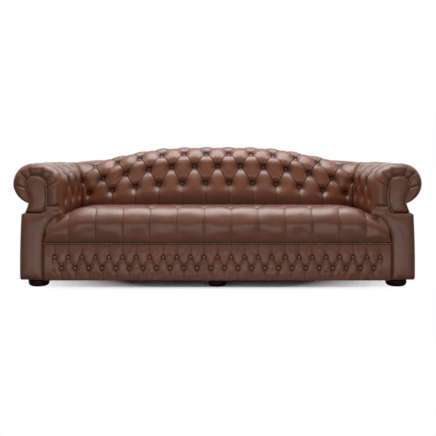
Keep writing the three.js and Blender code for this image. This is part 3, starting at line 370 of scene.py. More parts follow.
class SofaTrim(bpy.types.PropertyGroup):
    """Sizes of buttons and nails."""

    button_width: size_property("Button width", 0.022, "Covered buttons of back, arms and seat")
    small_button_width: size_property("Border button width", 0.017, "Covered buttons of the border")
    nail_width: size_property("Nail width", 0.0086, "Head of an upholstery nail")
    nail_height: size_property("Nail height", 0.0046, "Rise of a nail head")
    nail_pitch: size_property("Nail pitch", 0.015, "From nail to nail")
    band_width: size_property("Band width", 0.0135, "Dark band of the trim under the heads")


class SofaColours(bpy.types.PropertyGroup):
    """Colours of the sofa's finishes."""

    leather: colour_property("Leather", "#5a2f19", "Hide where it is neither rubbed nor in a fold")
    leather_worn: colour_property("Worn leather", "#74401f", "Hide where the antique finish is rubbed thin")
    # The fold colour is the antique finish, and also painted shade in pits, folds, creases, rims and joints
    leather_finish_and_shade: colour_property("Leather fold", "#22100a", "Antique finish gathered in folds and pits")
    nail: colour_property("Nail", "#e0bb98", "Antiqued bronze of the nail heads")
    foot: colour_property("Foot", "#1a0603", "Dark stained mahogany")
    beech: colour_property("Beech", "#c79c6a", "Frame timber")
    plywood: colour_property("Plywood", "#d2ad7a", "Scroll boards and ribs")
    foam: colour_property("Foam", "#e8dcb8", "Upholstery foam")
    jute: colour_property("Jute", "#a98f62", "Webbing and platform cloth")
    lining: colour_property("Lining", "#1b1a1a", "Dust cover cloth")
    steel: colour_property("Spring steel", "#3d3f42", "Oiled spring wire")


# Meshes


def add_object(name, mesh, material):
    thing = bpy.data.objects.new(name, mesh)
    bpy.context.scene.collection.objects.link(thing)
    mesh.materials.append(material)
    return thing


def add_mesh(name, points, faces, slot, **marks):
    """A smooth mesh object. A mark is one value, or one a point, that the materials read."""
    mesh = bpy.data.meshes.new(name)
    mesh.from_pydata(points, [], faces)
    for mark, values in marks.items():
        attribute = mesh.attributes.new(mark, "FLOAT", "POINT")
        attribute.data.foreach_set("value", np.broadcast_to(values, len(points)).astype(np.float32))
    mesh.polygons.foreach_set("use_smooth", [True] * len(faces))
    mesh.update()
    return add_object(name, mesh, material_of(slot))


def surface(name, points, towards, **marks):
    """A leather sheet through a grid of points, turned so that its middle faces the direction given.

    Each cell is split along its deeper diagonal, so that folds stay unbroken.
    """
    rows, columns = points.shape[:2]
    index = np.arange(rows * columns).reshape(rows, columns)
    faces = np.stack([index[:-1, :-1], index[:-1, 1:], index[1:, 1:], index[1:, :-1]], -1)
    corners = points.reshape(-1, 3)[faces[rows // 2, columns // 2]]
    normal = np.cross(corners[1] - corners[0], corners[3] - corners[0])
    faces = faces.reshape(-1, 4)
    if normal @ np.array(towards) < 0:
        faces = faces[:, ::-1]
    marks = {mark: np.broadcast_to(values, (rows, columns)).reshape(-1) for mark, values in marks.items()}
    deep = marks["fold"][faces]
    along_first = (deep[:, 0] + deep[:, 2] >= deep[:, 1] + deep[:, 3])[:, None]
    one = np.where(along_first, faces[:, [0, 1, 2]], faces[:, [0, 1, 3]])
    two = np.where(along_first, faces[:, [0, 2, 3]], faces[:, [1, 2, 3]])
    triangles = np.concatenate([one, two]).tolist()
    return add_mesh(name, points.reshape(-1, 3).tolist(), triangles, "leather", **marks)


def face_outwards(mesh, towards=None):
    """Turn a mesh's faces the same way out, and an open mesh's front towards a direction."""
    build = bmesh.new()
    build.from_mesh(mesh)
    bmesh.ops.recalc_face_normals(build, faces=build.faces)
    if towards:
        front = max((face.normal.dot(towards) for face in build.faces), key=abs)
        if front < 0:
            bmesh.ops.reverse_faces(build, faces=build.faces)
    build.to_mesh(mesh)
    build.free()


def bevel(piece, name, width):
    edge = piece.modifiers.new(name, "BEVEL")
    edge.width = width
    edge.segments = 2


def turned(profile, segments):
    """Points and faces of a profile of radii and heights turned about Z."""
    angles = np.arange(segments) * 2 * math.pi / segments
    points = [(r * math.cos(a), r * math.sin(a), z) for r, z in profile for a in angles]
    faces = []
    for ring in range(0, len(points) - segments, segments):
        for k in range(segments):
            a = ring + k
            b = ring + (k + 1) % segments
            faces.append((a, b, b + segments, a + segments))
    faces.append(tuple(range(segments))[::-1])
    faces.append(tuple(range(len(points) - segments, len(points))))
    return np.array(points), faces


def dome(width, height, rings, segments):
    """A low dome with a short skirt, for buttons and nail heads."""
    radius = width / 2
    profile = [(radius * 0.96, -height * 0.4), (radius, 0)]
    for k in range(1, rings + 1):
        turn = k / rings * math.pi / 2 * 0.96
        profile.append((radius * math.cos(turn), height * math.sin(turn)))
    return turned(profile, segments)


# Lines and noise


def curve(points, steps):
    """A Bezier curve through its first and last points, as an array."""
    t = np.linspace(0, 1, steps)[:, None]
    points = [np.array(p, float) for p in points]
    while len(points) > 1:
        points = [a * (1 - t) + b * t for a, b in zip(points, points[1:])]
    return points[0]


def lengths_along(points):
    """Length of a line up to each of its points."""
    return np.concatenate([[0], np.cumsum(np.linalg.norm(np.diff(points, axis=0), axis=1))])


def even(points, count):
    """The same line with evenly spaced points."""
    lengths = lengths_along(points)
    places = np.linspace(0, lengths[-1], count)
    return np.stack([np.interp(places, lengths, column) for column in points.T], -1)


def along_line(line, pitch):
    """Evenly spaced places along a line, a whole number of steps."""
    return even(line, round(lengths_along(line)[-1] / pitch) + 1)


def rounded(points, times):
    """A line with its corners cut again and again, its ends kept."""
    points = np.array(points, float)
    for _ in range(times):
        near = points[:-1] * 0.75 + points[1:] * 0.25
        far = points[:-1] * 0.25 + points[1:] * 0.75
        middle = np.stack([near, far], 1).reshape(-1, points.shape[1])
        points = np.concatenate([points[:1], middle[1:-1], points[-1:]])
    return points


def smooth(values, low, high):
    """Share of the way from low to high, eased at both ends."""
    t = np.clip((values - low) / (high - low), 0, 1)
    return t * t * (3 - 2 * t)


def waves(x, y, size, seed):
    """Soft, even noise between about -1 and 1, with swells of about the given size."""
    turns = seed + np.array([0.4, 1.3, 2.1, 2.9, 3.8, 4.6, 5.7])
    total = 0
    for k, turn in enumerate(turns):
        rate = (0.8 + 0.17 * k) / size
        run = x * math.cos(turn) + y * math.sin(turn)
        total = total + np.sin(rate * 2 * math.pi * run + 1.7 * k * turn)
    return total / math.sqrt(len(turns) * 2)


# Deep buttoning


def creased(near_fold):
    """Cross-section of a soft fold: nearly flat over the pillow, steep at the crease."""
    steepness = 0.985
    full = 0.8275
    round_off = 1 - np.sqrt(1 - (steepness * near_fold) ** 2)
    return 0.62 * near_fold**2 + 0.38 * (round_off / full) ** 1.2


def grooved(away):
    """Share of a groove from the distance to it, which falls off evenly so that it stays exact in between."""
    return np.clip(1 - away / GROOVE_REACH, 0, 1)


def tufts(along, across, net, leather):
    """Depth shares of a buttoned surface, and how near each point is to a crease and to a pit.

    Pits lie in rows, every other row half a pitch along. Folds run between them along the sides of the
    diamonds, and past the outer rows each pit sends out a straight pleat.
    """
    pitch, first, rows = net
    step = rows[1] - rows[0]
    row = np.clip(np.floor((across - rows[0]) / step + 1e-6), 0, len(rows) - 2)
    t = np.clip((across - rows[0]) / step - row, 0, 1)

    def offset(start):
        places = (along - start) / pitch
        return (places - np.round(places)) * 2

    q = np.abs(offset(first + (row % 2) * pitch / 2))
    diagonal = pitch * step / math.hypot(pitch, 2 * step)
    to_pits = (np.hypot(q * pitch / 2, t * step), np.hypot((1 - q) * pitch / 2, (1 - t) * step))
    diamond = (1 - np.abs(q - t), (q + t) / 2, np.minimum(*to_pits), (t - q) * diagonal, 1)

    below = across < rows[0]
    outside = below | (across > rows[-1])
    q_out = offset(first + np.where(below, 0, (len(rows) - 1) % 2) * pitch / 2)
    run = np.clip(np.where(below, rows[0] - across, across - rows[-1]), 0, None)
    spread = leather.pleat + (1 - leather.pleat) * np.exp(-run / leather.pleat_run)
    side = q_out * pitch / 2
    pleat = (1 - np.abs(q_out), np.abs(q_out) / 2, np.hypot(side, run), side, spread)
    near_fold, place, pit_run, fold_side, decay = (np.where(outside, *pair) for pair in zip(pleat, diamond))

    fold = leather.valley + (leather.deep - leather.valley) * np.abs(2 * place - 1) ** 2.6
    funnel = (1 - leather.deep) * np.exp(-((pit_run / leather.funnel) ** 1.6))
    share = decay * fold * creased(near_fold) + funnel
    sharpness = np.where(outside, 0.45 + 0.55 * np.exp(-run / 0.04), 1)
    crease = np.exp(-np.abs(fold_side) / CREASE_WIDTH) * sharpness
    lip = np.exp(-(((fold_side - LIP_OUT) / LIP_WIDTH) ** 2)) * np.clip(pit_run / 0.03, 0, 1)
    return share, crease, lip, pit_run, np.abs(fold_side)


def buttoned(along, across, net, leather, pit_depth, seed, fade=1):
    """Depth of a buttoned leather, its gathered dark finish with painted shade in pits, folds and creases,
    and its grooves.

    The finish is below nothing where the leather is rubbed lighter, which on the lips is also a painted
    highlight.
    """
    share, crease, lip, pit_run, away = tufts(along, across, net, leather)
    near_ring = np.exp(-((pit_run - GATHER_OUT) ** 2) / GATHER_REACH**2)
    gathers = near_ring * waves(along, across, GATHER_SIZE, seed)
    padding = waves(along, across, leather.wave_size, seed + 2) * (1 - share) * fade
    depth = (pit_depth * share + leather.crease * crease - leather.lip * lip) * fade
    depth = depth - leather.gather * gathers - leather.wave * padding
    # The dark in a pit is mostly painted shade; the lips are painted lighter as a highlight, the crowns as
    # wear
    pit = np.exp(-((pit_run / leather.pit) ** leather.pit_power))
    dark = leather.fold_finish_and_shade * share**1.3 + leather.crease_finish_and_shade * crease + leather.pit_shade_and_finish * pit
    return depth, dark - RUB_AND_HIGHLIGHT * (leather.lip_rub_and_highlight * lip + 0.3 * (1 - share)), grooved(away)


def marked(dark):
    """The fold mark from a share of dark finish and painted shade, between the lightest (rubbed, with a
    painted highlight on lips) and full.
    """
    return np.clip(dark, -RUB_AND_HIGHLIGHT, 1)


def both_sides(spot, outward):
    """A place and its outward direction, with the mirrored ones unless it lies in the middle."""
    sides = (1, -1) if spot[0] > MM else (1,)
    return [(spot * (side, 1, 1), np.array(outward) * (side, 1, 1)) for side in sides]


# Section of the arms and back


def crowns(sizes):
    """Where the inside faces of the arms and of the back stand."""
    reach = sizes.roll_setback + sizes.roll_radius
    return cad_high.x - reach, cad_high.y - reach


def section_lengths(sizes):
    """Runs along the section to the end of the face, of the crown and of the flat top."""
    face = cad_high.z - sizes.crown_radius - sizes.cover_base
    crown = face + sizes.crown_radius * math.pi / 2
    return face, crown, crown + sizes.roll_setback - sizes.crown_radius


def section(run, top, lean, sizes):
    """Distance outwards and height of the wall's section at a run, and the turn of its normal."""
    face_end, crown_end, flat_end = section_lengths(sizes)
    share = np.clip(run / face_end, 0, 1)
    crown = np.clip((run - face_end) / sizes.crown_radius, 0, math.pi / 2)
    flat = np.clip(run - crown_end, 0, flat_end - crown_end)
    roll = np.clip((run - flat_end) / sizes.roll_radius, 0, sizes.roll_turn)
    out = (
        -lean * sizes.lean_foot * (1 - share)
        + sizes.crown_radius * (1 - np.cos(crown))
        + flat
        + sizes.roll_radius * np.sin(roll)
    )
    rise = share * (top - sizes.crown_radius - sizes.cover_base)
    z = sizes.cover_base + rise + sizes.crown_radius * np.sin(crown) - sizes.roll_radius * (1 - np.cos(roll))
    return out, z, crown + roll


def section_runs(sizes):
    """Runs along the section, a whole number of steps from row to row, as a column."""
    step = sizes.row_step / CELLS
    end = section_lengths(sizes)[2] + sizes.roll_radius * sizes.roll_turn
    return np.append(np.arange(sizes.first_row % step, end, step), end)[:, None]


def camel_top(x, sizes, crown):
    """Height of the camel-shaped top across the sofa, which ends at the arms' height."""
    inwards = np.clip(1 - np.abs(x) / crown, 0, 1)
    rise = cad_high.z - sizes.arm_height
    return sizes.arm_height + rise * (1 - (1 - inwards**sizes.foot_power) ** sizes.head_power)


def wall_net(pitch, first, sizes):
    """The net of an arm or of the back, with its rows at runs along the section."""
    return Net(pitch, first, [sizes.first_row + k * sizes.row_step for k in range(sizes.rows)])


def past_last_button(out, share, start, crown, sizes):
    """Plan of the corner from the last button to the mitre: how far along, how far out, and the turn.

    The corner is square inside and follows a ball at the roll.
    """
    straight = crown + np.minimum(out, sizes.roll_setback) - start
    ball = np.clip(out - sizes.roll_setback, 0, None)
    length = straight + ball * math.pi / 4
    run = share * length
    along = np.minimum(run, straight)
    turn = np.where(ball > MM, (run - along) / np.maximum(ball, MM), 0)
    place = start + along + ball * np.sin(turn)
    across = np.minimum(out, sizes.roll_setback) + ball * np.cos(turn)
    return place, across, turn, (1 - share) * length


def corner_shares():
    """The corner's columns from the last button to the mitre, as shares of the way."""
    return np.linspace(0, 1, CORNER_COLUMNS + 1)[1:]


def corner_wall(along, corner_share, run, top, lean, net, start, crown, sizes, seed, fan=1):
    """A buttoned wall up to its mitre: plan place, plan distance out, height, fold and groove."""
    seam_size = 0.006
    run, corner_share, along = np.broadcast_arrays(run, corner_share, along)
    out, z, turn = section(run, top, lean, sizes)
    in_corner = corner_share > 0
    corner = past_last_button(out, corner_share, start / fan, crown, sizes)
    place, across, plan_turn = (np.where(in_corner, *pair) for pair in zip(corner, (along / fan, out, 0)))
    to_mitre = corner[3]
    net_along = np.where(in_corner, start + corner_share * net.pitch / 2, along)

    low = np.clip((net.rows[0] - TUCK_START - run) / TUCK_RUN, 0, 1.1)
    pit_depth = sizes.tuft_depth * (1 - 0.5 * np.clip(low, 0, 1))
    depth, dark, groove = buttoned(net_along, run, net, WALL_LEATHER, pit_depth, seed)
    seam = np.where(in_corner, np.exp(-to_mitre / seam_size), 0)
    depth = depth - 0.002 + sizes.tuck * low**2 + seam_size * seam
    push = depth * np.cos(turn)
    along_push = push * np.sin(plan_turn)
    across_push = push * np.cos(plan_turn)
    skew = smooth(corner_share, 0.3, 1) * (along_push - across_push) / 2
    # The fold mark is darker towards the seat, painted shade at the wall's foot, and darker along the mitre's
    # seam
    return (
        place + along_push - skew,
        across + across_push + skew,
        z - depth * np.sin(turn),
        marked(marked(dark + 0.7 * low) + 0.5 * seam),
        np.where(in_corner, np.maximum(groove, grooved(to_mitre)), groove),
    )


# Inside back


def back_net(sizes):
    """The back's net of buttons, and the place of its last button beside the arm."""
    pitch = sizes.back_pitch
    last = pitch * (math.floor(crowns(sizes)[0] / pitch - 0.5) + 0.5)
    return wall_net(pitch, pitch / 2, sizes), last


def back_fan(run, sizes):
    """How much closer the buttons stand at the crown of the back than at its foot."""
    return 1 + sizes.fan * smooth(run, sizes.first_row, sizes.first_row + 2 * sizes.row_step)


def over_foam(points):
    """Bring the pit beside each arm forward and up, where the foam stands closest under the leather."""
    for side in (1, -1):
        away = np.linalg.norm(points - (side * PIT_OVER_FOAM[0], *PIT_OVER_FOAM[1:]), axis=-1)[..., None]
        points = points + np.exp(-((away / FOAM_LIFT_REACH) ** 2)) * FOAM_LIFT
    return points


def inside_back_points(sizes):
    """The back's buttoned cover from mitre to mitre, with its fold and groove."""
    arm_crown, back_crown = crowns(sizes)
    net, last = back_net(sizes)
    step = sizes.back_pitch / 2 / CELLS
    along = np.arange(0, last + step / 2, step)
    half_along = np.concatenate([along, np.full(CORNER_COLUMNS, last)])
    half_share = np.concatenate([np.zeros(len(along)), corner_shares()])
    run = section_runs(sizes)
    fan = back_fan(run, sizes)
    nominal = half_along / fan + half_share * (arm_crown - last / fan)
    lean = smooth(arm_crown - nominal, 0, sizes.lean_fade)
    top = camel_top(nominal, sizes, arm_crown)
    halves = []
    for seed, side in ((1, 1), (5, -1)):
        place, across, z, fold, groove = corner_wall(
            half_along, half_share, run, top, lean, net, last, arm_crown, sizes, seed, fan
        )
        halves.append(np.stack([side * place, back_crown + across, z, fold, groove], -1))
    both = np.concatenate([halves[1][:, :0:-1], halves[0]], 1)
    return over_foam(both[..., :3]), both[..., 3], both[..., 4]


def back_button_places(sizes):
    """Pits of the back with the outward direction at each."""
    arm_crown, back_crown = crowns(sizes)
    net, last = back_net(sizes)
    places = []
    for row, run in enumerate(net.rows):
        start = sizes.back_pitch / 2 * (1 - row % 2)
        for along in np.arange(start, last + MM, sizes.back_pitch) / back_fan(run, sizes):
            lean = smooth(arm_crown - along, 0, sizes.lean_fade)
            out, z, turn = section(run, camel_top(along, sizes, arm_crown), lean, sizes)
            outward = np.array([0, -math.cos(turn), math.sin(turn)])
            spot = np.array([along, back_crown + out, z]) - outward * sizes.tuft_depth * BUTTON_SINK
            places.extend(both_sides(over_foam(spot), outward))
    return places


# Inside arms


def facing_line(sizes):
    """Outline of the scroll facing of the right arm, from its inner foot over the head to its outer foot."""
    arm_crown, _ = crowns(sizes)
    head_x, head_z = arm_crown + FACING_HEAD[0], FACING_HEAD[1]
    waist_in, waist_out, waist = arm_crown + FACING_WAIST[0], arm_crown + FACING_WAIST[1], FACING_WAIST[2]
    foot_in, foot_out, foot = arm_crown + FACING_FOOT[0], arm_crown + FACING_FOOT[1], FACING_FOOT[2]
    radius = FACING_HEAD_RADIUS
    pull = (head_z - waist) / 2
    drop = (waist - foot) / 2
    angles = np.linspace(math.pi, 0, 80)
    head = np.stack([head_x + radius * np.cos(angles), head_z + radius * np.sin(angles)], -1)
    inner_curve = [(waist_in, waist), (waist_in, waist + pull), (head_x - radius, head_z - pull / 2)]
    outer_curve = [(head_x + radius, head_z), (head_x + radius, head_z - pull), (waist_out, waist + pull / 2)]
    parts = [
        curve([(foot_in, foot), (waist_in, waist - drop), (waist_in, waist)], 20),
        curve([*inner_curve, (head_x - radius, head_z)], 30),
        head,
        curve([*outer_curve, (waist_out, waist)], 30),
        curve([(waist_out, waist), (waist_out, waist - drop), (foot_out, foot)], 20),
    ]
    return even(np.concatenate(parts), 400)


def arm_columns(sizes):
    """The arm cover's columns from the nails on the facing back to the mitre.

    For each column: its place along, its turn to the front, its share of the corner, and how far it is
    drawn in to the nail line.
    """
    front = cad_low.y + FRONT_INSET
    last = crowns(sizes)[1] - BACK_LAST_PIT
    body = np.arange(last, front + sizes.ring_round, -sizes.arm_pitch / 2 / CELLS)[::-1]
    flat = np.linspace(0, 1, 8)[:-1]
    around = np.linspace(math.pi / 2, 0, 16)
    rest = len(body) + CORNER_COLUMNS
    ring = front + sizes.ring_round * (1 - np.sin(around))
    along = np.concatenate([np.full(len(flat), front), ring, body, np.full(CORNER_COLUMNS, last)])
    turn = np.concatenate([np.full(len(flat), math.pi / 2), around, np.zeros(rest)])
    corner = np.concatenate([np.zeros(len(along) - CORNER_COLUMNS), corner_shares()])
    drawn = [1 - (1 - ROUND_BLEND) * flat, ROUND_BLEND * (1 - np.cos(around)), np.zeros(rest)]
    return along, turn, corner, np.concatenate(drawn)


def nail_places(run, z, sizes):
    """Where each run of the arm cover meets the nails round the facing: X, Z and the share of the way round.

    Under the fold the cover goes straight down.
    """
    face = sizes.arm_height - sizes.crown_radius - sizes.cover_base
    fold_run = (FOLD_HEIGHT - sizes.cover_base) / face * section_lengths(sizes)[0]
    share = np.clip((run - fold_run) / (run[-1] - fold_run), 0, 1)
    line = facing_line(sizes)
    first = np.argmax(line[:, 1] > FOLD_HEIGHT)
    last = len(line) - 1 - np.argmax(line[::-1, 1] > NECK_TOP)
    places = first + share * (last - first)
    nail_x, nail_z = (np.interp(places, np.arange(len(line)), column) for column in line.T)
    under_fold = run < fold_run
    return np.where(under_fold, line[first, 0], nail_x), np.where(under_fold, z, nail_z), share


def inside_arm_points(sizes, seed):
    """The right arm's buttoned cover from the facing's nails back to the mitre, with its fold and groove."""
    arm_crown, back_crown = crowns(sizes)
    along, face_turn, corner_share, drawn = arm_columns(sizes)
    last = along[-1]
    run = section_runs(sizes)
    out, z, turn = section(run, sizes.arm_height, 0, sizes)
    net = wall_net(sizes.arm_pitch, last, sizes)
    place, across, height, fold, groove = corner_wall(
        along, corner_share, run, sizes.arm_height, 0, net, last, back_crown, sizes, seed
    )
    walls = np.stack([arm_crown + across, place, height], -1)

    # Smooth padding ahead of the first buttons
    first_pit = last - 2 * sizes.arm_pitch
    calm = smooth(first_pit - along, -0.004, 0.075)
    pad = np.clip((first_pit - along) / sizes.arm_pad, 0, 1)
    face = np.clip((run - sizes.first_row) / (2.5 * sizes.row_step), 0, 1)
    ripple = 0.0014 * waves(along * 0.6, run, 0.07, seed + 3) * np.sin(math.pi * pad)
    swell = sizes.pad_swell * np.sin(math.pi * pad) * np.sin(math.pi * face) + ripple
    plain = [arm_crown + out - swell * np.cos(turn), along, z + swell * np.sin(turn)]
    plain = np.stack(np.broadcast_arrays(*plain), -1)
    points = walls * (1 - calm[:, None]) + plain * calm[:, None]

    # Drawn in to the nails, with pleats that run out from them
    nail_x, nail_z, share = nail_places(run, z, sizes)
    points[..., 0] += (nail_x - points[..., 0]) * drawn
    points[..., 2] += (nail_z - points[..., 2]) * drawn
    pleats = [share[np.argmin(np.abs(share - place))] for place in PLEAT_SHARES]
    nearest = np.min([np.abs(share - place) for place in pleats], 0) * 0.5
    reach = smooth(drawn, 0.03, 0.45)
    outer = smooth(share, 0.2, 0.26)
    pleat_width = 0.003 + 0.006 * (1 - drawn)
    pleat = np.exp(-nearest / pleat_width) * reach
    puff = np.clip(1 - nearest / PUFF_REACH, 0, 1) * reach
    bulge = RING_BULGE * np.sin(math.pi * np.clip(drawn * 1.02, 0, 1)) ** 0.7
    push = (PLEAT_RISE * pleat + PUFF_RISE * puff**2) * outer - bulge * smooth(share, 0, 0.04)
    points[..., 0] += push * np.cos(face_turn) * np.cos(turn)
    points[..., 2] -= push * np.cos(face_turn) * np.sin(turn)
    points[..., 1] += push * np.sin(face_turn)
    # Darker in the pleats and beside the facing's nails: painted shade, with the antique finish
    fold = np.maximum(np.maximum(fold * (1 - calm), 0.25 * pleat * outer), smooth(drawn, 0.88, 0.97))
    groove = np.maximum(groove * (1 - calm), RING_GROOVE * grooved(nearest) * reach * outer)
    return points, marked(fold), groove


def arm_button_places(sizes):
    """Pits of the arms, and of the corners in every other row, with the outward direction at each."""
    arm_crown, back_crown = crowns(sizes)
    places = []
    for row, run in enumerate(wall_net(sizes.arm_pitch, 0, sizes).rows):
        out, z, turn = section(run, sizes.arm_height, 0, sizes)
        outward = np.array([-math.cos(turn), 0, math.sin(turn)])
        odd = row % 2
        start = back_crown - BACK_LAST_PIT - odd * sizes.arm_pitch / 2
        for k in range(3 - odd):
            spot = np.array([arm_crown + out, start - k * sizes.arm_pitch, z])
            places.extend(both_sides(spot - outward * sizes.tuft_depth * BUTTON_SINK, outward))
        if odd:
            # The mitre runs at half a right angle, and follows a ball at the roll.
            seam = min(out, sizes.roll_setback) + max(out - sizes.roll_setback, 0) * math.sqrt(0.5)
            outward = np.array([-math.cos(turn) * math.sqrt(0.5)] * 2 + [math.sin(turn)])
            spot = np.array([arm_crown + seam, back_crown + seam, z])
            places.extend(both_sides(spot - outward * sizes.tuft_depth * CORNER_SINK, outward))
    return places


# Seat and border


def pushed_in(points, depth):
    """Points moved inwards along the sheet's own normals."""
    down = np.gradient(points, axis=0)
    sideways = np.gradient(points, axis=1)
    normals = np.cross(sideways, down)
    normals /= np.maximum(np.linalg.norm(normals, axis=-1, keepdims=True), 1e-12)
    return points - normals * depth[..., None]


def seat_profile(sizes):
    """The seat from the nailed joint up, over the nose and back along the crown, as Y and Z."""
    nose = cad_low.y
    nose_top = sizes.height - sizes.crown
    turn = np.linspace(0, math.pi / 2, 24)
    arc = [nose + sizes.nose_run * (1 - np.cos(turn)), nose_top - sizes.nose_drop * (1 - np.sin(turn))]
    up = np.linspace(0, 1, 16)[:-1]
    below = [nose + sizes.tuck * (1 - up) ** 2, sizes.joint + (arc[1][0] - sizes.joint) * up]
    share = np.linspace(-1, 1, 40)[1:]
    middle = (SEAT_BACK + arc[0][-1]) / 2
    fall = sizes.fall * smooth(share, -1.1, 1)
    top = [middle + share * (SEAT_BACK - middle), sizes.height - sizes.crown * share**2 - fall]
    return rounded(np.concatenate([np.stack(part, -1) for part in (below, arc, top)]), 2)


def seat_end_share(x, sizes):
    """How much of the seat's height is left towards its ends."""
    straight = ARM_FRONT_INNER - sizes.end_run
    past = np.clip((np.abs(x) - straight) / sizes.end_run, 0, 1)
    return (1 - past**END_POWER) ** (1 / END_POWER)


def seat_first_row(sizes):
    """Y of the seat's first row of buttons."""
    return cad_low.y + FRONT_INSET + sizes.first_row


def seat_points(sizes):
    """The seat from the nailed joint over the nose to the back, with its fold and groove."""
    profile = seat_profile(sizes)
    lengths = lengths_along(profile)
    row_start = np.interp(seat_first_row(sizes), profile[:, 0], lengths)
    cell = sizes.row_step / CELLS
    runs = row_start % cell + cell * np.arange(int(lengths[-1] / cell) - 1)
    runs = np.concatenate([[0], runs, [lengths[-1]]])[:, None]
    y, z = (np.interp(runs, lengths, column) for column in profile.T)
    straight = ARM_FRONT_INNER - sizes.end_run
    ends = straight + sizes.end_run * np.sin(np.linspace(0, math.pi / 2, 64))
    half = np.concatenate([np.arange(0, straight, sizes.pitch / 2 / CELLS), ends])
    x = np.concatenate([-half[:0:-1], half])
    share = seat_end_share(x, sizes)
    front = cad_low.y + sizes.tuck
    y_drawn = front + np.minimum(y - front, 0) * share + np.maximum(y - front, 0)
    points = np.stack(np.broadcast_arrays(x, y_drawn, sizes.joint + (z - sizes.joint) * share), -1)

    # Pits get shallower towards the back, and folds fade out at the nails.
    net = Net(sizes.pitch, sizes.pitch / 2, [row_start + k * sizes.row_step for k in range(sizes.rows)])
    pit_depth = sizes.tuft_depth * (1 - 0.75 * smooth(y, -0.3, 0.03))
    fade = smooth(runs, 0.004, 0.09)
    x, runs = np.broadcast_arrays(x, runs)
    depth, dark, groove = buttoned(x, runs, net, SEAT_LEATHER, pit_depth, 11, fade)
    fold = np.maximum(marked(dark), np.exp(-((runs / JOINT_SHADE) ** 4)))
    return pushed_in(points, depth), fold, SEAT_GROOVE * groove


def seat_button_places(sizes):
    """Pits of the seat with the outward direction at each."""
    profile = seat_profile(sizes)
    places = []
    for row in range(sizes.rows):
        y = seat_first_row(sizes) + row * sizes.row_step
        z = np.interp(y, profile[-40:, 0], profile[-40:, 1])
        for x in np.arange(sizes.pitch / 2 * (1 - row % 2), SEAT_INSIDE, sizes.pitch):
            share = seat_end_share(x, sizes)
            height = sizes.joint + (z - sizes.joint) * share - sizes.tuft_depth * SEAT_BUTTON_SINK
            slope = (math.sqrt(1 - share * share) * 0.6, 0, 1)
            places.extend(both_sides(np.array([x, y, height]), slope))
    return places


def border_points(sizes):
    """The border under the seat with a rounded lower edge that turns under, and its fold and groove."""
    bottom = BASE_CLEARANCE
    height = sizes.joint - bottom
    inner = ARM_FRONT_INNER - BORDER_END
    half = np.arange(0, inner, sizes.border_pitch / 2 / BORDER_CELLS)
    half = np.append(half, np.linspace(inner + MM / 2, ARM_FRONT_INNER + BORDER_OVERLAP, 8))
    x = np.concatenate([-half[:0:-1], half])
    cell = (sizes.border_upper - sizes.border_lower) / BORDER_CELLS
    z = (sizes.border_lower - bottom) % cell + cell * np.arange(int(height / cell))
    z = np.concatenate([[0], z[(z > cell / 4) & (z < height - cell / 4)], [height]])[:, None]
    ends = np.clip((np.abs(x) - inner) / (BORDER_END + BORDER_OVERLAP), 0, 1)
    pad = BORDER_PAD * np.sin(math.pi * np.clip(z / height, 0, 1)) ** 0.6
    y = cad_low.y + sizes.tuck - pad + BORDER_EDGE * (1 - np.sqrt(1 - ends**2))
    x, z, y = np.broadcast_arrays(x, z, y)

    net = Net(sizes.border_pitch, sizes.border_pitch / 2, [sizes.border_lower, sizes.border_upper])
    fade = 1 - np.clip(np.abs(z - height / 2) / (height / 2), 0, 1) ** 8
    fade = fade * (1 - smooth(np.abs(x), BORDER_LAST, BORDER_LAST + 0.02))
    depth, dark, groove = buttoned(x, bottom + z, net, BORDER_LEATHER, sizes.border_depth, 21, fade)
    fold = np.maximum(marked(dark) * fade, np.exp(-(((height - z) / JOINT_SHADE) ** 4)))
    groove = BORDER_GROOVE * groove * (fade > 0.5)
    points = np.stack([x, y + depth, bottom + z], -1)

    turn = np.linspace(0, math.pi / 2, 7)[:-1][:, None]
    under_y = points[0, :, 1] + BORDER_EDGE * (1 - np.sin(turn))
    under = np.stack(np.broadcast_arrays(x[0], under_y, bottom - 0.0005 * np.cos(turn)), -1)
    fold, groove = (np.concatenate([mark[:1].repeat(len(turn), 0), mark]) for mark in (fold, groove))
    return np.concatenate([under, points]), fold, groove


def border_button_places(sizes):
    """Pits of the border with the outward direction at each."""
    face = cad_low.y + sizes.tuck - BORDER_BUTTON_OUT
    places = []
    for height, start in ((sizes.border_lower, sizes.border_pitch / 2), (sizes.border_upper, 0)):
        for x in np.arange(start, BORDER_LAST, sizes.border_pitch):
            places.extend(both_sides(np.array([x, face, height]), FORWARD))
    return places


# Plain panels


def inside_outline(points, outline):
    """Which points lie inside a closed outline, and how far each is from it."""
    first = outline
    second = np.roll(outline, -1, 0)
    px = points[:, 0][:, None]
    py = points[:, 1][:, None]
    edge = second - first
    crosses = (first[:, 1] > py) != (second[:, 1] > py)
    slope = edge[:, 0] / np.where(edge[:, 1] == 0, 1, edge[:, 1])
    hit = crosses & (px < first[:, 0] + slope * (py - first[:, 1]))
    length = np.maximum((edge**2).sum(1), 1e-12)
    share = np.clip(((px - first[:, 0]) * edge[:, 0] + (py - first[:, 1]) * edge[:, 1]) / length, 0, 1)
    away = np.hypot(px - first[:, 0] - share * edge[:, 0], py - first[:, 1] - share * edge[:, 1])
    return hit.sum(1) % 2 == 1, away.min(1)


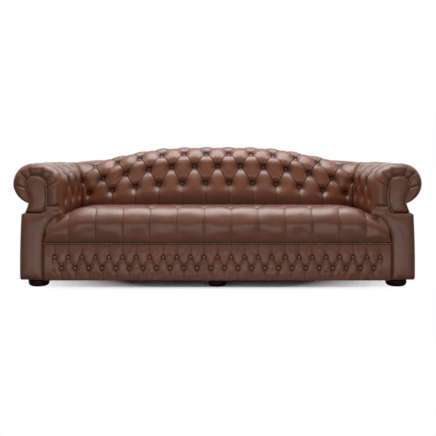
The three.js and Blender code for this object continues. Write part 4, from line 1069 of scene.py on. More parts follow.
def panel_net(outline):
    """A triangle net inside a closed outline, finer beside it.

    The result is the outline with even points, all points, the faces and the rim as places in the points.
    """
    closed = np.concatenate([outline, outline[:1]])
    rim = even(closed, int(lengths_along(closed)[-1] / RIM_STEP) + 1)[:-1]
    (low_x, low_z), (high_x, high_z) = rim.min(0), rim.max(0)
    grid_x, grid_z = np.meshgrid(np.arange(low_x, high_x, PANEL_STEP), np.arange(low_z, high_z, PANEL_STEP))
    grid_x = grid_x + PANEL_STEP / 2 * (np.round(grid_z / PANEL_STEP) % 2)
    spots = np.stack([grid_x.ravel(), grid_z.ravel()], -1)
    inside, away = inside_outline(spots, rim)
    along = np.roll(rim, -2, 0) - np.roll(rim, 2, 0)
    along /= np.maximum(np.linalg.norm(along, axis=1, keepdims=True), 1e-9)
    rings = [rim]
    for inset in PANEL_RINGS:
        moved = rim + np.stack([-along[:, 1], along[:, 0]], -1) * inset
        held, distance = inside_outline(moved, rim)
        rings.append(moved[held & (distance > inset * 0.8)])
    spots = np.concatenate([*rings, spots[inside & (away > PANEL_RINGS[-1] + MM)]])
    count = len(rim)
    edges = [(k, (k + 1) % count) for k in range(count)]
    spots = [Vector(p) for p in spots.tolist()]
    points, _, faces, sources, *_ = delaunay_2d_cdt(spots, edges, [], 1, 1e-7)
    place_of = {source[0]: k for k, source in enumerate(sources) if source and source[0] < count}
    ring = [place_of[k] for k in range(count)]
    return rim, np.array([list(p) for p in points]), [tuple(face) for face in faces], ring


def panel_mesh(outline, depths, edge_of, lift_of, crown, rim_shade):
    """Points, faces and fold mark of an upright padded panel with an outline in X and Z, facing the front.

    Depths are the Y of its face and of its back. Edge_of and lift_of give the radius of the rounded edge
    and a rise of the face at points.
    """
    rim, flat, faces, ring = panel_net(outline)
    face_y, back_y = depths
    away = inside_outline(flat, rim)[1]
    away = np.where(away < 1e-5, 0, away)
    edge = edge_of(flat)
    height = edge * np.sqrt(1 - (1 - np.clip(away / edge, 0, 1)) ** 2)
    # The crown rises with the distance from the rim, of which the nearer parts count more.
    nearness = (np.linalg.norm(flat[:, None] - rim[None], axis=-1) + 0.001) ** -3
    depth = nearness.mean(1) ** -0.5
    height = height + crown * (1 - (1 - depth / depth.max()) ** 2)
    height = height - 0.0004 * waves(flat[:, 0], flat[:, 1], 0.09, 31) * np.clip(away / 0.03, 0, 1)
    height = height + lift_of(flat) * np.clip(away / 0.012, 0, 1)
    points = np.stack([flat[:, 0], face_y + edge - height, flat[:, 1]], -1)
    skirt = points[ring] * (1, 0, 1) + (0, back_y, 0)
    # The rim and the skirt get painted shade, with the antique finish
    fold = np.concatenate([rim_shade * np.exp(-away / 0.006), np.full(len(ring), rim_shade)])
    for k, here in enumerate(ring):
        after = (k + 1) % len(ring)
        faces.append((ring[after], here, len(points) + k, len(points) + after))
    return np.concatenate([points, skirt]), faces, fold


def arm_front_outline(sizes, seat):
    """Outline of the panel under the right arm's facing, shaped round the end of the seat."""
    arm_crown, _ = crowns(sizes)
    outer = arm_crown + PANEL_FOOT_OUT
    top = arm_crown + PANEL_TOP_OUT
    fold_end = arm_crown + FOLD_INNER
    bottom = BASE_CLEARANCE
    corner_top = SHOULDER_TOP - TOP_CORNER
    line = facing_line(sizes)
    beside = line[(line[:, 0] < arm_crown + FACING_HEAD[0]) & (line[:, 1] < FOLD_HEIGHT)]
    swoop = beside - (0.003, 0)
    straight = ARM_FRONT_INNER - seat.end_run
    end_run = seat.end_run + MM
    end_rise = seat.height - seat.joint + MM
    start = math.asin((arm_crown - PANEL_INNER_IN - straight) / end_run)
    share = np.sin(np.linspace(start, math.pi / 2, 50))
    rise = end_rise * (1 - share**END_POWER) ** (1 / END_POWER)
    round_end = np.stack([straight + end_run * share, seat.joint + rise], -1)
    outline = [
        [(ARM_FRONT_INNER + MM, bottom)],
        curve([(outer - PANEL_CORNER, bottom), (outer, bottom), (outer, bottom + FRONT_CORNER)], 8),
        curve([(outer, bottom + FRONT_CORNER), (outer + 0.002, 0.25), (top, corner_top)], 12)[1:-1],
        curve([(top, corner_top), (top, SHOULDER_TOP), (top - TOP_CORNER * 0.8, SHOULDER_TOP)], 8),
        [(line[0, 0], SHOULDER_TOP)],
        swoop,
        [(swoop[-1, 0], FOLD_HEIGHT), (fold_end - 0.006, FOLD_HEIGHT)],
        curve([(fold_end, FOLD_HEIGHT - 0.001), (fold_end - 0.004, 0.47), round_end[0]], 6)[:-1],
        round_end,
    ]
    return np.concatenate([np.array(part) for part in outline])


def outer_profile(with_neck):
    """Distance outwards and height of the outer panels' section, from the hem up, with soft corners."""
    bottom = BASE_CLEARANCE
    points = [
        (PANEL_TOP_OUT - 0.02, bottom),
        (PANEL_FOOT_OUT - PANEL_CORNER, bottom),
        (PANEL_FOOT_OUT, bottom + PANEL_CORNER * 0.1),
        (PANEL_FOOT_OUT, bottom + PANEL_CORNER * 1.5),
        (PANEL_TOP_OUT, SHOULDER_TOP - TOP_CORNER * 1.4),
        (PANEL_TOP_OUT, SHOULDER_TOP),
    ]
    if with_neck:
        points += [(PANEL_NECK_OUT, SHOULDER_TOP), (PANEL_NECK_OUT, NECK_TOP + NECK_TUCK)]
    else:
        points += [(PANEL_NECK_OUT - 0.004, SHOULDER_TOP)]
    return rounded(points, 4)


def swept_wall(profile, start, end, seed, tops=None):
    """A plain wall swept along a profile of distances out and heights, padded a little.

    Start and end are a place and how much it moves for each metre out. Tops lets the upper edge follow the
    camel. The result is place along, distance out, height and fold.
    """
    length = lengths_along(profile)[-1]
    profile = even(profile, int(length / WALL_STEP_UP))
    run = np.linspace(0, length, len(profile))[:, None]
    out, z = profile[:, :1], profile[:, 1:]
    width = end[0] - start[0] + (end[1] - start[1]) * WALL_MIDDLE
    share = np.linspace(0, 1, int(width / WALL_STEP_ALONG))
    place = start[0] + start[1] * out + share * (end[0] - start[0] + (end[1] - start[1]) * out)
    middle = np.clip((z - BASE_CLEARANCE) / (SHOULDER_TOP - BASE_CLEARANCE), 0, 1)
    wall = np.sin(math.pi * middle) * (out > PANEL_SHOULDER_OUT)
    puff = WALL_PUFF * np.sqrt(np.clip(wall, 0, 1)) + WALL_WAVE * waves(place, run, 0.22, seed) * wall
    if tops is not None:
        z = z + tops(place) * np.clip((z - SHOULDER_TOP) / (NECK_TOP - SHOULDER_TOP), 0, 1)
        puff = NECK_WAVE * waves(place, run, 0.16, seed)
    edge = np.exp(-np.minimum(share, 1 - share) * width / SEAM_REACH)
    return place, out + puff - SEAM_DROP * edge, np.broadcast_to(z, place.shape), 0.6 * edge


# Materials


def tone(colour, share=1.0):
    """A colour with full alpha, its channels multiplied by a share, or by one each."""
    return (*(min(1, channel * part) for channel, part in zip(colour, np.broadcast_to(share, 3))), 1)


def per_metre(width_mm):
    """Scale of a noise or cell pattern from the width of its spots."""
    return 1000 / width_mm


def set_inputs(node, inputs):
    """Give sockets, by name or number, a value or a link from an output socket."""
    for key, value in inputs.items():
        if isinstance(value, bpy.types.NodeSocket):
            node.id_data.links.new(value, node.inputs[key])
        else:
            node.inputs[key].default_value = value


def add_node(tree, kind, *inputs, output=None, **settings):
    """Add a node, fill its shown sockets in their order, and give one of its output sockets.

    An input is a value or a socket to link from. A setting is a property, or a socket by its name.
    """
    node = tree.nodes.new(f"ShaderNode{kind}")
    named = {key: value for key, value in settings.items() if key in node.inputs}
    for key in settings.keys() - named.keys():
        setattr(node, key, settings[key])
    shown = [number for number, socket in enumerate(node.inputs) if socket.enabled]
    set_inputs(node, dict(zip(shown, inputs)) | named)
    if output:
        return node.outputs[output]
    return next((socket for socket in node.outputs if socket.enabled), None)


def new_material(name):
    """A material, a function that adds a node to it, its shader and the place on the object."""
    material = bpy.data.materials.new(name)
    material.use_nodes = True
    add = partial(add_node, material.node_tree)
    return add, material.node_tree.nodes["Principled BSDF"], add("TexCoord", output="Object")


def leather_material(name, hide):
    """Vegetable-tanned hide, antiqued by hand and waxed.

    The dark finish gathers in folds and grooves, where it is also painted shade, and is rubbed thin on the
    crowns, over a cloudy, creased grain with a soft gloss. The lips beside folds are painted lighter as a
    highlight.
    """
    colours = bpy.context.scene.sofa_colours
    # Dark colour of the antique finish, also used as painted shade
    antique = tone(colours.leather_finish_and_shade)
    add, shader, place = new_material(name)
    fold = add("Attribute", attribute_name="fold", output="Fac")
    groove = add("Attribute", attribute_name="groove", output="Fac")
    warp = add("TexNoise", place, per_metre(111.1), 2, 0.5, output="Color")
    warped = add("VectorMath", place, warp, operation="ADD")
    cloud = add("TexNoise", place, per_metre(133.3), 4, 0.62)
    mottle = add("TexNoise", warped, per_metre(29.41), 5, 0.65)
    flecks = add("TexNoise", warped, per_metre(8.333), 3, 0.6)

    rubbed = add("MapRange", cloud, 0.42, 0.68)
    speckled = add("MapRange", mottle, 0.44, 0.66)
    bare = add("MapRange", mottle, 0.5, 0.75, 0, 0.35)
    worn = add("Math", rubbed, speckled, bare, operation="MULTIPLY_ADD")
    colour = add("Mix", worn, tone(hide), tone(colours.leather_worn), data_type="RGBA")
    grime = add("MapRange", flecks, 0.55, 0.78, 0, 0.3)
    colour = add("Mix", grime, colour, antique, data_type="RGBA")
    # Lips beside folds painted lighter than worn hide: a painted highlight, partly rubbed wear
    lip = add("MapRange", fold, -0.02, -RUB_AND_HIGHLIGHT, 0, 0.75)
    colour = add("Mix", lip, colour, tone(colours.leather_worn, 1.5), data_type="RGBA")
    # The fold mark: antique finish, and painted shade in pits, folds, corners, rims and the seat joint
    gathered = add("MapRange", fold, 0.12, 0.95, 0, 0.95)
    colour = add("Mix", gathered, colour, antique, data_type="RGBA")
    # Grooves drawn as dark lines: painted shade in the crease
    line = add("MapRange", groove, 1 - 0.0042 / GROOVE_REACH, 1 - 0.0004 / GROOVE_REACH, 0, 0.82)
    colour = add("Mix", line, colour, antique, data_type="RGBA")

    polish = add("MapRange", mottle, 0.3, 0.75, 0.3, 0.42)
    dull = add("MapRange", fold, 0, 1, 0, 0.16)
    rough = add("Math", polish, dull, operation="ADD")

    # Grain cells of a hide are about 1 mm wide. They are drawn 3 mm wide to show at this distance.
    grain = add("TexVoronoi", warped, per_metre(3.03))
    creases = add("TexNoise", warped, per_metre(38.46), 4, 0.55)
    ridged = add("Math", creases, 0.5, operation="SUBTRACT")
    folded = add("Math", ridged, operation="ABSOLUTE")
    thin = add("MapRange", folded, 0, 0.06)
    padding = add("TexNoise", place, per_metre(66.67), 3, 0.5)
    sunk = add("MapRange", groove, 1 - 0.006 / GROOVE_REACH, 1, 1, 0)
    normal = add("Bump", Height=padding, Strength=0.14, Distance=0.006)
    for height, strength, distance in ((thin, 0.3, 0.0012), (grain, 0.25, 0.0005), (sunk, 0.6, 0.002)):
        normal = add("Bump", Height=height, Normal=normal, Strength=strength, Distance=distance)
    waxed = {"IOR": 1.5, "Coat Weight": 0.45, "Coat Roughness": 0.25}
    set_inputs(shader, {"Base Color": colour, "Roughness": rough, "Normal": normal, **waxed})


def metal_material(name, colour, polished, dull):
    """Drawn steel or pressed bronze, kept bright only where it is rubbed.

    Soft blotches of tarnish dim its gloss, and a dull dark patina lies where the fold mark says so, which on
    the nail trim's band is also painted shade.
    """
    add, shader, place = new_material(name)
    patina_and_shade_mark = add("Attribute", attribute_name="fold", output="Fac")
    blotch = add("TexNoise", place, per_metre(6.25), 3, 0.6)
    bright = add("MapRange", blotch, 0.4, 0.7)
    shade = add("Mix", bright, tone(colour, 0.65), tone(colour), data_type="RGBA")
    shade = add("Mix", patina_and_shade_mark, shade, tone(colour, PATINA_AND_SHADE), data_type="RGBA")
    rough = add("MapRange", blotch, 0.35, 0.7, dull, polished)
    rough = add("Mix", patina_and_shade_mark, rough, PATINA_ROUGH)
    set_inputs(shader, {"Base Color": shade, "Roughness": rough, "Metallic": 1.0})


def wood_material(name, colour, figure_mm, rough, shine):
    """Sawn, planed or lacquered timber: long grain along the piece with broader, darker figure.

    Pores of these timbers are a tenth of a millimetre wide. They are drawn 1 mm wide to show.
    """
    add, shader, place = new_material(name)
    dark = tone(colour, 0.55)
    stretched = add("Mapping", place, Scale=(1, 8, 8))
    figure = add("TexNoise", stretched, per_metre(figure_mm), 5, 0.6)
    pores = add("TexNoise", stretched, per_metre(figure_mm) * 9, 2, 0.7)
    shade = add("Mix", add("MapRange", figure, 0.35, 0.7), dark, tone(colour), data_type="RGBA")
    shade = add("Mix", add("MapRange", pores, 0.55, 0.8, 0, 0.5), shade, dark, data_type="RGBA")
    gloss = add("MapRange", figure, 0.3, 0.7, rough, rough + 0.12)
    normal = add("Bump", Height=pores, Strength=0.2, Distance=0.0006)
    sockets = {"Base Color": shade, "Roughness": gloss, "Specular IOR Level": shine, "Normal": normal}
    set_inputs(shader, sockets)


def cloth_material(name, colour, thread_mm, rough):
    """Woven jute or lining cloth: crossing threads and a dull fuzz.

    Real threads are 1 to 2 mm apart. They are drawn a little wider to show.
    """
    add, shader, place = new_material(name)
    dark = tone(colour, 0.5)
    # A wave pattern of scale 1 repeats every tenth of pi.
    scale = per_metre(thread_mm) * math.pi / 10
    across, along = (
        add("TexWave", place, bands_direction=axis, Scale=scale, output="Fac") for axis in ("X", "Y")
    )
    weave = add("Math", across, along, operation="MULTIPLY")
    fuzz = add("TexNoise", place, per_metre(16.67), 4, 0.6)
    shade = add("Mix", add("MapRange", weave, 0, 1, 0.25, 1), dark, tone(colour), data_type="RGBA")
    shade = add("Mix", add("MapRange", fuzz, 0.4, 0.8, 0, 0.4), shade, dark, data_type="RGBA")
    normal = add("Bump", Height=weave, Strength=0.4, Distance=0.0008)
    set_inputs(shader, {"Base Color": shade, "Roughness": rough, "Normal": normal})


def foam_material(name, colour):
    """Cut polyurethane foam: open cells as dark pits, and soft yellowing in patches.

    Real cells are under 1 mm wide. They are drawn nearly 4 mm wide to show.
    """
    add, shader, place = new_material(name)
    cells = add("TexVoronoi", place, per_metre(3.846))
    patches = add("TexNoise", place, per_metre(166.7), 3, 0.5)
    yellowed = add("MapRange", patches, 0.35, 0.7)
    shade = add("Mix", yellowed, tone(colour), tone(colour, (1, 0.86, 0.6)), data_type="RGBA")
    pitted = add("MapRange", cells, 0, 0.35, 0.55, 0)
    shade = add("Mix", pitted, shade, tone(colour, 0.6), data_type="RGBA")
    normal = add("Bump", Height=cells, Strength=0.6, Distance=0.0015)
    set_inputs(shader, {"Base Color": shade, "Roughness": 0.95, "Normal": normal})


# The material of each slot: its maker, its name, which colour it has, and the maker's other values
MATERIALS = {
    "leather": (leather_material, "antiqued leather", "leather"),
    "foam": (foam_material, "upholstery foam", "foam"),
    "beech": (wood_material, "planed beech", "beech", 71.43, 0.55, 0.4),
    "plywood": (wood_material, "birch plywood", "plywood", 111.1, 0.65, 0.4),
    "mahogany": (wood_material, "lacquered mahogany", "foot", 83.33, 0.45, 0.18),
    "spring_steel": (metal_material, "oiled spring steel", "steel", 0.3, 0.5),
    "nail_trim": (metal_material, "antiqued bronze", "nail", 0.24, 0.36),
    "jute": (cloth_material, "woven jute", "jute", 3.491, 0.9),
    "lining": (cloth_material, "black lining cloth", "lining", 2.618, 0.85),
}


def material_of(slot):
    """The one material of a slot, made when first asked for."""
    maker, name, colour, *values = MATERIALS[slot]
    if name not in bpy.data.materials:
        maker(name, getattr(bpy.context.scene.sofa_colours, colour), *values)
    return bpy.data.materials[name]


# Operators


def finish_piece(piece, slot, *stands_for, fill=None):
    """Attach a piece to its body and hide the nodes that it stands for. Its slot and fill are not used."""
    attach(piece, BODY)
    if stands_for:
        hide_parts(*stands_for)


def leather_sheet(name, sheet, towards, stands_for, fill):
    """A padded piece from a sheet, which is a grid of points with its fold and groove marks."""
    points, fold, groove = sheet
    piece = surface(name, points, towards, fold=fold, groove=groove)
    finish_piece(piece, "leather", stands_for, fill=fill)


class SOFA_OT_inside_back(bpy.types.Operator):
    """Build the deep-buttoned inside back with its camel top and roll"""

    bl_idname = "sofa.inside_back"
    bl_label = "Inside back"

    def execute(self, context):
        sheet = inside_back_points(context.scene.sofa_section)
        leather_sheet("inside_back", sheet, UPWARD, "inside_back_cover", fill=0.8)
        return {"FINISHED"}


class SOFA_OT_inside_arms(bpy.types.Operator):
    """Build both deep-buttoned inside arms with their pleated fronts"""

    bl_idname = "sofa.inside_arms"
    bl_label = "Inside arms"

    def execute(self, context):
        for seed, (hand, side) in zip((2, 7), SIDES):
            points, *marks = inside_arm_points(context.scene.sofa_section, seed)
            sheet = (points * (side, 1, 1), *marks)
            leather_sheet(f"inside_arm_{hand}", sheet, UPWARD, f"inside_arm_cover_{hand}", fill=0.8)
        return {"FINISHED"}


class SOFA_OT_seat(bpy.types.Operator):
    """Build the buttoned seat with the pleats down its front"""

    bl_idname = "sofa.seat"
    bl_label = "Seat"

    def execute(self, context):
        sheet = seat_points(context.scene.sofa_seat)
        leather_sheet("seat", sheet, UPWARD, "seat_cover", fill=0.8)
        return {"FINISHED"}


class SOFA_OT_border(bpy.types.Operator):
    """Build the buttoned border under the seat"""

    bl_idname = "sofa.border"
    bl_label = "Front border"

    def execute(self, context):
        sheet = border_points(context.scene.sofa_seat)
        leather_sheet("border", sheet, FORWARD, "front_border", fill=0.7)
        return {"FINISHED"}


class SOFA_OT_arm_fronts(bpy.types.Operator):
    """Build the scroll facings and the panels under them"""

    bl_idname = "sofa.arm_fronts"
    bl_label = "Arm fronts"

    def execute(self, context):
        sizes = context.scene.sofa_section
        front = cad_low.y + FRONT_INSET
        arm_crown, _ = crowns(sizes)
        swoop = curve([(arm_crown + x, z) for x, z in SWOOP], 40)

        def panel_edge(spots):
            outer = smooth(spots[:, 0], arm_crown + 0.13, arm_crown + PANEL_TOP_OUT - 0.01)
            edge = PANEL_EDGE + PANEL_EDGE_SWELL * outer
            return edge * (1 - 0.75 * smooth(spots[:, 1], 0.42, 0.45))

        def panel_lift(spots):
            away = np.linalg.norm(spots[:, None] - swoop[None], axis=-1).min(1)
            return SWOOP_RISE * np.exp(-((away / SWOOP_WIDTH) ** 2))

        def facing_edge(spots):
            return FACING_EDGE

        def facing_lift(spots):
            return 0

        outline = arm_front_outline(sizes, context.scene.sofa_seat)
        depths = (front, cad_low.y + PANEL_BACK + PANEL_OVERLAP)
        panel = panel_mesh(outline, depths, panel_edge, panel_lift, PANEL_CROWN, PANEL_RIM_SHADE)
        outline = facing_line(sizes)
        depths = (front - FACING_OUT, front + FACING_BACK)
        facing = panel_mesh(outline, depths, facing_edge, facing_lift, FACING_CROWN, FACING_RIM_SHADE)
        shapes = (("arm_front", "arm_front_panel", panel), ("facing", "scroll_facing", facing))
        for hand, side in SIDES:
            for name, node, (points, faces, fold) in shapes:
                mirrored = (points * (side, 1, 1)).tolist()
                piece = add_mesh(f"{name}_{hand}", mirrored, faces, "leather", fold=fold)
                face_outwards(piece.data, FORWARD)
                finish_piece(piece, "leather", f"{node}_{hand}", fill=0.7)
        return {"FINISHED"}


class SOFA_OT_outer_panels(bpy.types.Operator):
    """Build the plain outside arms, outside back and rear border"""

    bl_idname = "sofa.outer_panels"
    bl_label = "Outer panels"

    def execute(self, context):
        sizes = context.scene.sofa_section
        arm_crown, back_crown = crowns(sizes)
        front = cad_low.y + PANEL_BACK
        for hand, side in SIDES:
            place, out, z, fold = swept_wall(outer_profile(True), (front, 0), (back_crown, 1), 41)
            points = np.stack([side * (arm_crown + out), place, z], -1)
            sheet = (points, fold, 0)
            leather_sheet(f"outer_arm_{hand}", sheet, (side, 0, 0), f"outside_arm_{hand}", fill=0.5)

        def camel_rise(x):
            return camel_top(x, sizes, arm_crown) - sizes.arm_height

        # The upper back starts just under the shoulder and ends under the roll.
        neck = [(PANEL_NECK_OUT, SHOULDER_TOP - 0.004 + 0.006 * k) for k in range(11)]
        neck.append((PANEL_NECK_OUT, NECK_TOP + NECK_TUCK))
        walls = (
            ("lower_back", "rear_border", outer_profile(False), 43, None),
            ("upper_back", "outside_back", np.array(neck), 47, camel_rise),
        )
        for name, node, profile, seed, tops in walls:
            place, out, z, fold = swept_wall(profile, (-arm_crown, -1), (arm_crown, 1), seed, tops)
            sheet = (np.stack([place, back_crown + out, z], -1), fold, 0)
            leather_sheet(name, sheet, BACKWARD, node, fill=0.5)
        return {"FINISHED"}


def studs(name, shape, places, slot, *stands_for, fold=0.0):
    """One piece holding a copy of a shape at each place, which is a point and an outward direction."""
    points, faces = shape
    all_points = []
    all_faces = []
    for k, (place, outward) in enumerate(places):
        turn = Vector(outward).to_track_quat("Z", "Y").to_matrix()
        all_points.extend((points @ np.array(turn).T + np.array(place)).tolist())
        all_faces.extend(tuple(i + k * len(points) for i in face) for face in faces)
    finish_piece(add_mesh(name, all_points, all_faces, slot, fold=fold), slot, *stands_for)


class SOFA_OT_buttons(bpy.types.Operator):
    """Set the covered buttons in the pits of back, arms, seat and border"""

    bl_idname = "sofa.buttons"
    bl_label = "Buttons"

    def execute(self, context):
        scene = context.scene
        trim = scene.sofa_trim
        large = dome(trim.button_width, trim.button_width * BUTTON_RISE, 5, 16)
        small = dome(trim.small_button_width, trim.small_button_width * BORDER_BUTTON_RISE, 5, 16)
        # Buttons in the wells are darkened as painted shade; the border's are lighter, partly rubbed wear and
        # partly a painted highlight
        rows = (
            ("back_buttons", large, back_button_places(scene.sofa_section), WELL_BUTTON_SHADE),
            ("arm_buttons", large, arm_button_places(scene.sofa_section), WELL_BUTTON_SHADE),
            ("seat_buttons", large, seat_button_places(scene.sofa_seat), WELL_BUTTON_SHADE),
            ("border_buttons", small, border_button_places(scene.sofa_seat), BORDER_BUTTON_RUB_AND_HIGHLIGHT),
        )
        for name, shape, places, fold in rows:
            studs(name, shape, places, "leather", fold=fold)
        return {"FINISHED"}


def nail_band(name, line, front, width):
    """The dark band of the nail trim, an oval cord which joins the heads along a line in X and Z. Its
    near-black patina is also painted shade between the heads.
    """
    steps = np.gradient(line, axis=0)
    steps = steps / np.linalg.norm(steps, axis=1, keepdims=True)
    turns = np.linspace(0, 2 * math.pi, BAND_SIDES, endpoint=False)
    points = []
    for (x, z), (dx, dz) in zip(line, steps):
        for turn in turns:
            out = math.cos(turn) * width / 2
            points.append((x - dz * out, front - math.sin(turn) * BAND_RISE, z + dx * out))
    faces = [tuple(range(BAND_SIDES)), tuple(range(len(points) - BAND_SIDES, len(points)))]
    for ring in range(0, len(points) - BAND_SIDES, BAND_SIDES):
        for k in range(BAND_SIDES):
            a = ring + k
            b = ring + (k + 1) % BAND_SIDES
            faces.append((a, b, b + BAND_SIDES, a + BAND_SIDES))
    band = add_mesh(name, points, faces, "nail_trim", fold=BAND_PATINA_AND_SHADE)
    face_outwards(band.data)
    finish_piece(band, "nail_trim")


class SOFA_OT_nails(bpy.types.Operator):
    """Drive the nails along the seat joint and round both scroll facings"""

    bl_idname = "sofa.nails"
    bl_label = "Nails"

    def execute(self, context):
        trim = context.scene.sofa_trim
        seat = context.scene.sofa_seat
        head = dome(trim.nail_width, trim.nail_height, 4, 12)

        def nail_row(names, spots, line, front, width, node):
            places = [((x, front, z), FORWARD) for x, z in spots]
            studs(names[0], head, places, "nail_trim", node)
            nail_band(names[1], line, front, width)

        half = ARM_FRONT_INNER - JOINT_END
        joint = np.array([[-half, seat.joint], [half, seat.joint]])
        spots = along_line(joint, trim.nail_pitch)
        face = cad_low.y + seat.tuck - JOINT_OUT
        names = ("seat_nails", "seat_nail_band")
        nail_row(names, spots, even(joint, 120) + (0, BAND_LIFT), face, trim.band_width, "front_trim")
        line = facing_line(context.scene.sofa_section)
        spots = along_line(line, trim.nail_pitch)
        spots, band = (points + (line.mean(0) - points) * NAIL_INSET for points in (spots, line))
        front = cad_low.y + FRONT_INSET - FACING_NAILS_OUT
        for hand, side in SIDES:
            names = (f"facing_nails_{hand}", f"facing_nail_band_{hand}")
            width = trim.band_width * FACING_BAND_SHARE
            nail_row(names, spots * (side, 1), band * (side, 1), front, width, f"facing_trim_{hand}")
        return {"FINISHED"}


class SOFA_OT_feet(bpy.types.Operator):
    """Turn the six bun feet"""

    bl_idname = "sofa.feet"
    bl_label = "Feet"

    def execute(self, context):
        for name in (name for name in nodes if name.startswith("foot_")):
            low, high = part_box(name)
            radius = (high.x - low.x) / 2
            profile = rounded([(r * radius, z * FOOT_HEIGHT) for r, z in FOOT_PROFILE], 2)
            points, faces = turned(profile, 64)
            middle = np.array([(low.x + high.x) / 2, (low.y + high.y) / 2, low.z])
            middle[0] += FOOT_OUT * np.sign(round(middle[0], 3))
            foot = add_mesh(f"bun_{name}", (points + middle).tolist(), faces, "mahogany")
            foot.data.polygons.foreach_set("use_smooth", [len(face) == 4 for face in faces])
            finish_piece(foot, "mahogany", name)
        return {"FINISHED"}


class SOFA_OT_inner_parts(bpy.types.Operator):
    """Dress the frame, springs, webbing, foam and dust cover"""

    bl_idname = "sofa.inner_parts"
    bl_label = "Inner parts"

    def execute(self, context):
        for name, node in nodes.items():
            slot = next((slot for word, slot in INNER_SLOTS.items() if word in name), None)
            if slot:
                node.data.materials.clear()
                node.data.materials.append(material_of(slot))
            if slot in ("beech", "plywood"):
                bevel(node, "eased edges", EASED_EDGE)
            if "foam" in name:
                mesh = node.data.copy()
                mesh.materials.clear()
                foam = add_object(f"cut_{name}", mesh, material_of("foam"))
                bevel(foam, "soft edges", SOFT_EDGE)
                finish_piece(foam, "foam", name, fill=0.9)
        return {"FINISHED"}


# Stage


def area_light(name, place, target, size, power):
    """A lamp with a width and a height in metres, turned towards a target."""
    data = bpy.data.lights.new(name, "AREA")
    data.shape = "RECTANGLE"
    data.size, data.size_y = size
    data.energy = power
    light = bpy.data.objects.new(name, data)
    light.location = place
    light.rotation_euler = (Vector(target) - Vector(place)).to_track_quat("-Z", "Y").to_euler()
    bpy.context.scene.collection.objects.link(light)
    return light


def stage_floor():
    """A white floor that fades out round the sofa, so that only its soft shadow shows."""
    add, shader, place = new_material("studio floor")
    set_inputs(shader, {"Base Color": (0.93, 0.93, 0.93, 1), "Roughness": 0.8})
    near = add("Mapping", place, Scale=(1 / 2.3, 1 / 1.7, 1))
    distance = add("VectorMath", near, operation="LENGTH")
    shown = add("MapRange", distance, 0.3, 0.56, 1, 0)
    mix = add("MixShader", shown, add("BsdfTransparent"), shader.outputs[0])
    set_inputs(shader.id_data.nodes["Material Output"], {"Surface": mix})
    mesh = bpy.data.meshes.new("floor")
    corners = [(x, y, 0) for x, y in ((-4, -4), (4, -4), (4, 4), (-4, 4))]
    mesh.from_pydata(corners, [], [(0, 1, 2, 3)])
    floor = add_object("floor", mesh, bpy.data.materials["studio floor"])
    floor.visible_glossy = False
    return floor


def stage_world():
    """A white surround that lights evenly, and for gloss alone has a bright band low in front of the sofa.

    The ranges on its axes are those of the direction looked in, from -1 to 1.
    """
    world = bpy.data.worlds.new("studio")
    world.use_nodes = True
    world.node_tree.nodes.clear()
    add = partial(add_node, world.node_tree)
    camera_ray = add("LightPath", output="Is Camera Ray")
    rays = camera_ray.node.outputs
    seen = add("Math", camera_ray, rays["Is Transmission Ray"], operation="MAXIMUM")
    axes = add("SeparateXYZ", add("TexCoord", output="Generated")).node.outputs
    over = add("MapRange", axes[2], -0.02, 0.06, 0, 1)
    far = add("MapRange", axes[1], 0.2, 0.7)
    behind = add("Math", over, far, operation="MULTIPLY")
    below = add("MapRange", axes[2], -0.02, -0.12, 0, 3.1, interpolation_type="SMOOTHSTEP")
    near = add("MapRange", axes[2], -0.34, -0.17, 0.02, 1, interpolation_type="SMOOTHSTEP")
    above = add("MapRange", axes[2], 0.2, 0.65, 0.02, 1.0)
    level = add("Math", below, near, operation="MULTIPLY")
    aside = add("Math", axes[0], operation="ABSOLUTE")
    ahead = add("MapRange", aside, 0.26, 0.42, 1, 0.1, interpolation_type="SMOOTHSTEP")
    band = add("Math", level, ahead, operation="MULTIPLY")
    front = add("Math", band, above, operation="MAXIMUM")
    around = add("Math", behind, front, operation="MAXIMUM")
    mirrored_light = add("Mix", rays["Is Glossy Ray"], 0.52, around)
    strength = add("Mix", seen, mirrored_light, 1.0)
    backdrop = add("Background", (1, 1, 1, 1), strength)
    add("OutputWorld", backdrop)
    return world


def stage_camera():
    """A level camera, its shift set for the photograph's framing."""
    data = bpy.data.cameras.new("camera")
    data.lens = 54.4
    data.shift_x = 0.00115
    data.shift_y = -0.1514
    camera = bpy.data.objects.new("camera", data)
    camera.location = (0, -4.455, 0.822)
    camera.rotation_euler = (math.pi / 2, 0, 0)
    bpy.context.scene.collection.objects.link(camera)
    return camera


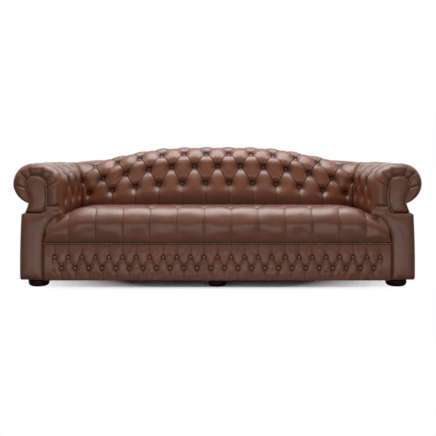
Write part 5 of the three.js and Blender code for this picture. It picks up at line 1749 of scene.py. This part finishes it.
class SOFA_OT_stage(bpy.types.Operator):
    """Set the floor, the white surround, the lamps and the camera"""

    bl_idname = "sofa.stage"
    bl_label = "Stage"

    def execute(self, context):
        scene = context.scene
        floor = stage_floor()
        overhead = area_light("overhead", (0, -0.4, 3.0), (0, -0.25, 0.4), (3.0, 2.6), 130)
        front_fill = area_light("front fill", (0, -6.5, 2.0), (0, 0, 0.4), (5, 2.2), 54)
        front_fill.visible_glossy = False
        scene.world = stage_world()
        scene.camera = stage_camera()
        scene.view_settings.view_transform = "Standard"
        return {"FINISHED"}


# Panel and registration


class SOFA_PT_panel(bpy.types.Panel):
    """Sizes, colours and pieces of the sofa"""

    bl_idname = "SOFA_PT_panel"
    bl_label = "Camelback sofa"
    bl_space_type = "VIEW_3D"
    bl_region_type = "UI"
    bl_category = "Sofa"

    def draw(self, context):
        for name in GROUPS:
            box = self.layout.box()
            group = getattr(context.scene, name)
            for key in group.__annotations__:
                box.prop(group, key)
        for operator in OPERATORS:
            self.layout.operator(operator.bl_idname)


GROUPS = {
    "sofa_section": SofaSection,
    "sofa_seat": SofaSeat,
    "sofa_trim": SofaTrim,
    "sofa_colours": SofaColours,
}
OPERATORS = (
    SOFA_OT_inside_back,
    SOFA_OT_inside_arms,
    SOFA_OT_seat,
    SOFA_OT_border,
    SOFA_OT_arm_fronts,
    SOFA_OT_outer_panels,
    SOFA_OT_buttons,
    SOFA_OT_nails,
    SOFA_OT_feet,
    SOFA_OT_inner_parts,
    SOFA_OT_stage,
)


def register():
    for cls in (*GROUPS.values(), *OPERATORS, SOFA_PT_panel):
        bpy.utils.register_class(cls)
    for name, group in GROUPS.items():
        setattr(bpy.types.Scene, name, PointerProperty(type=group))


def unregister():
    for name in GROUPS:
        delattr(bpy.types.Scene, name)
    for cls in (SOFA_PT_panel, *reversed(OPERATORS), *reversed(GROUPS.values())):
        bpy.utils.unregister_class(cls)


def main():
    register()
    for operator in OPERATORS:
        module, name = operator.bl_idname.split(".")
        result = getattr(getattr(bpy.ops, module), name)()
        if result != {"FINISHED"}:
            raise RuntimeError(f"{operator.bl_label} was not finished")


if __name__ == "__main__":
    main()
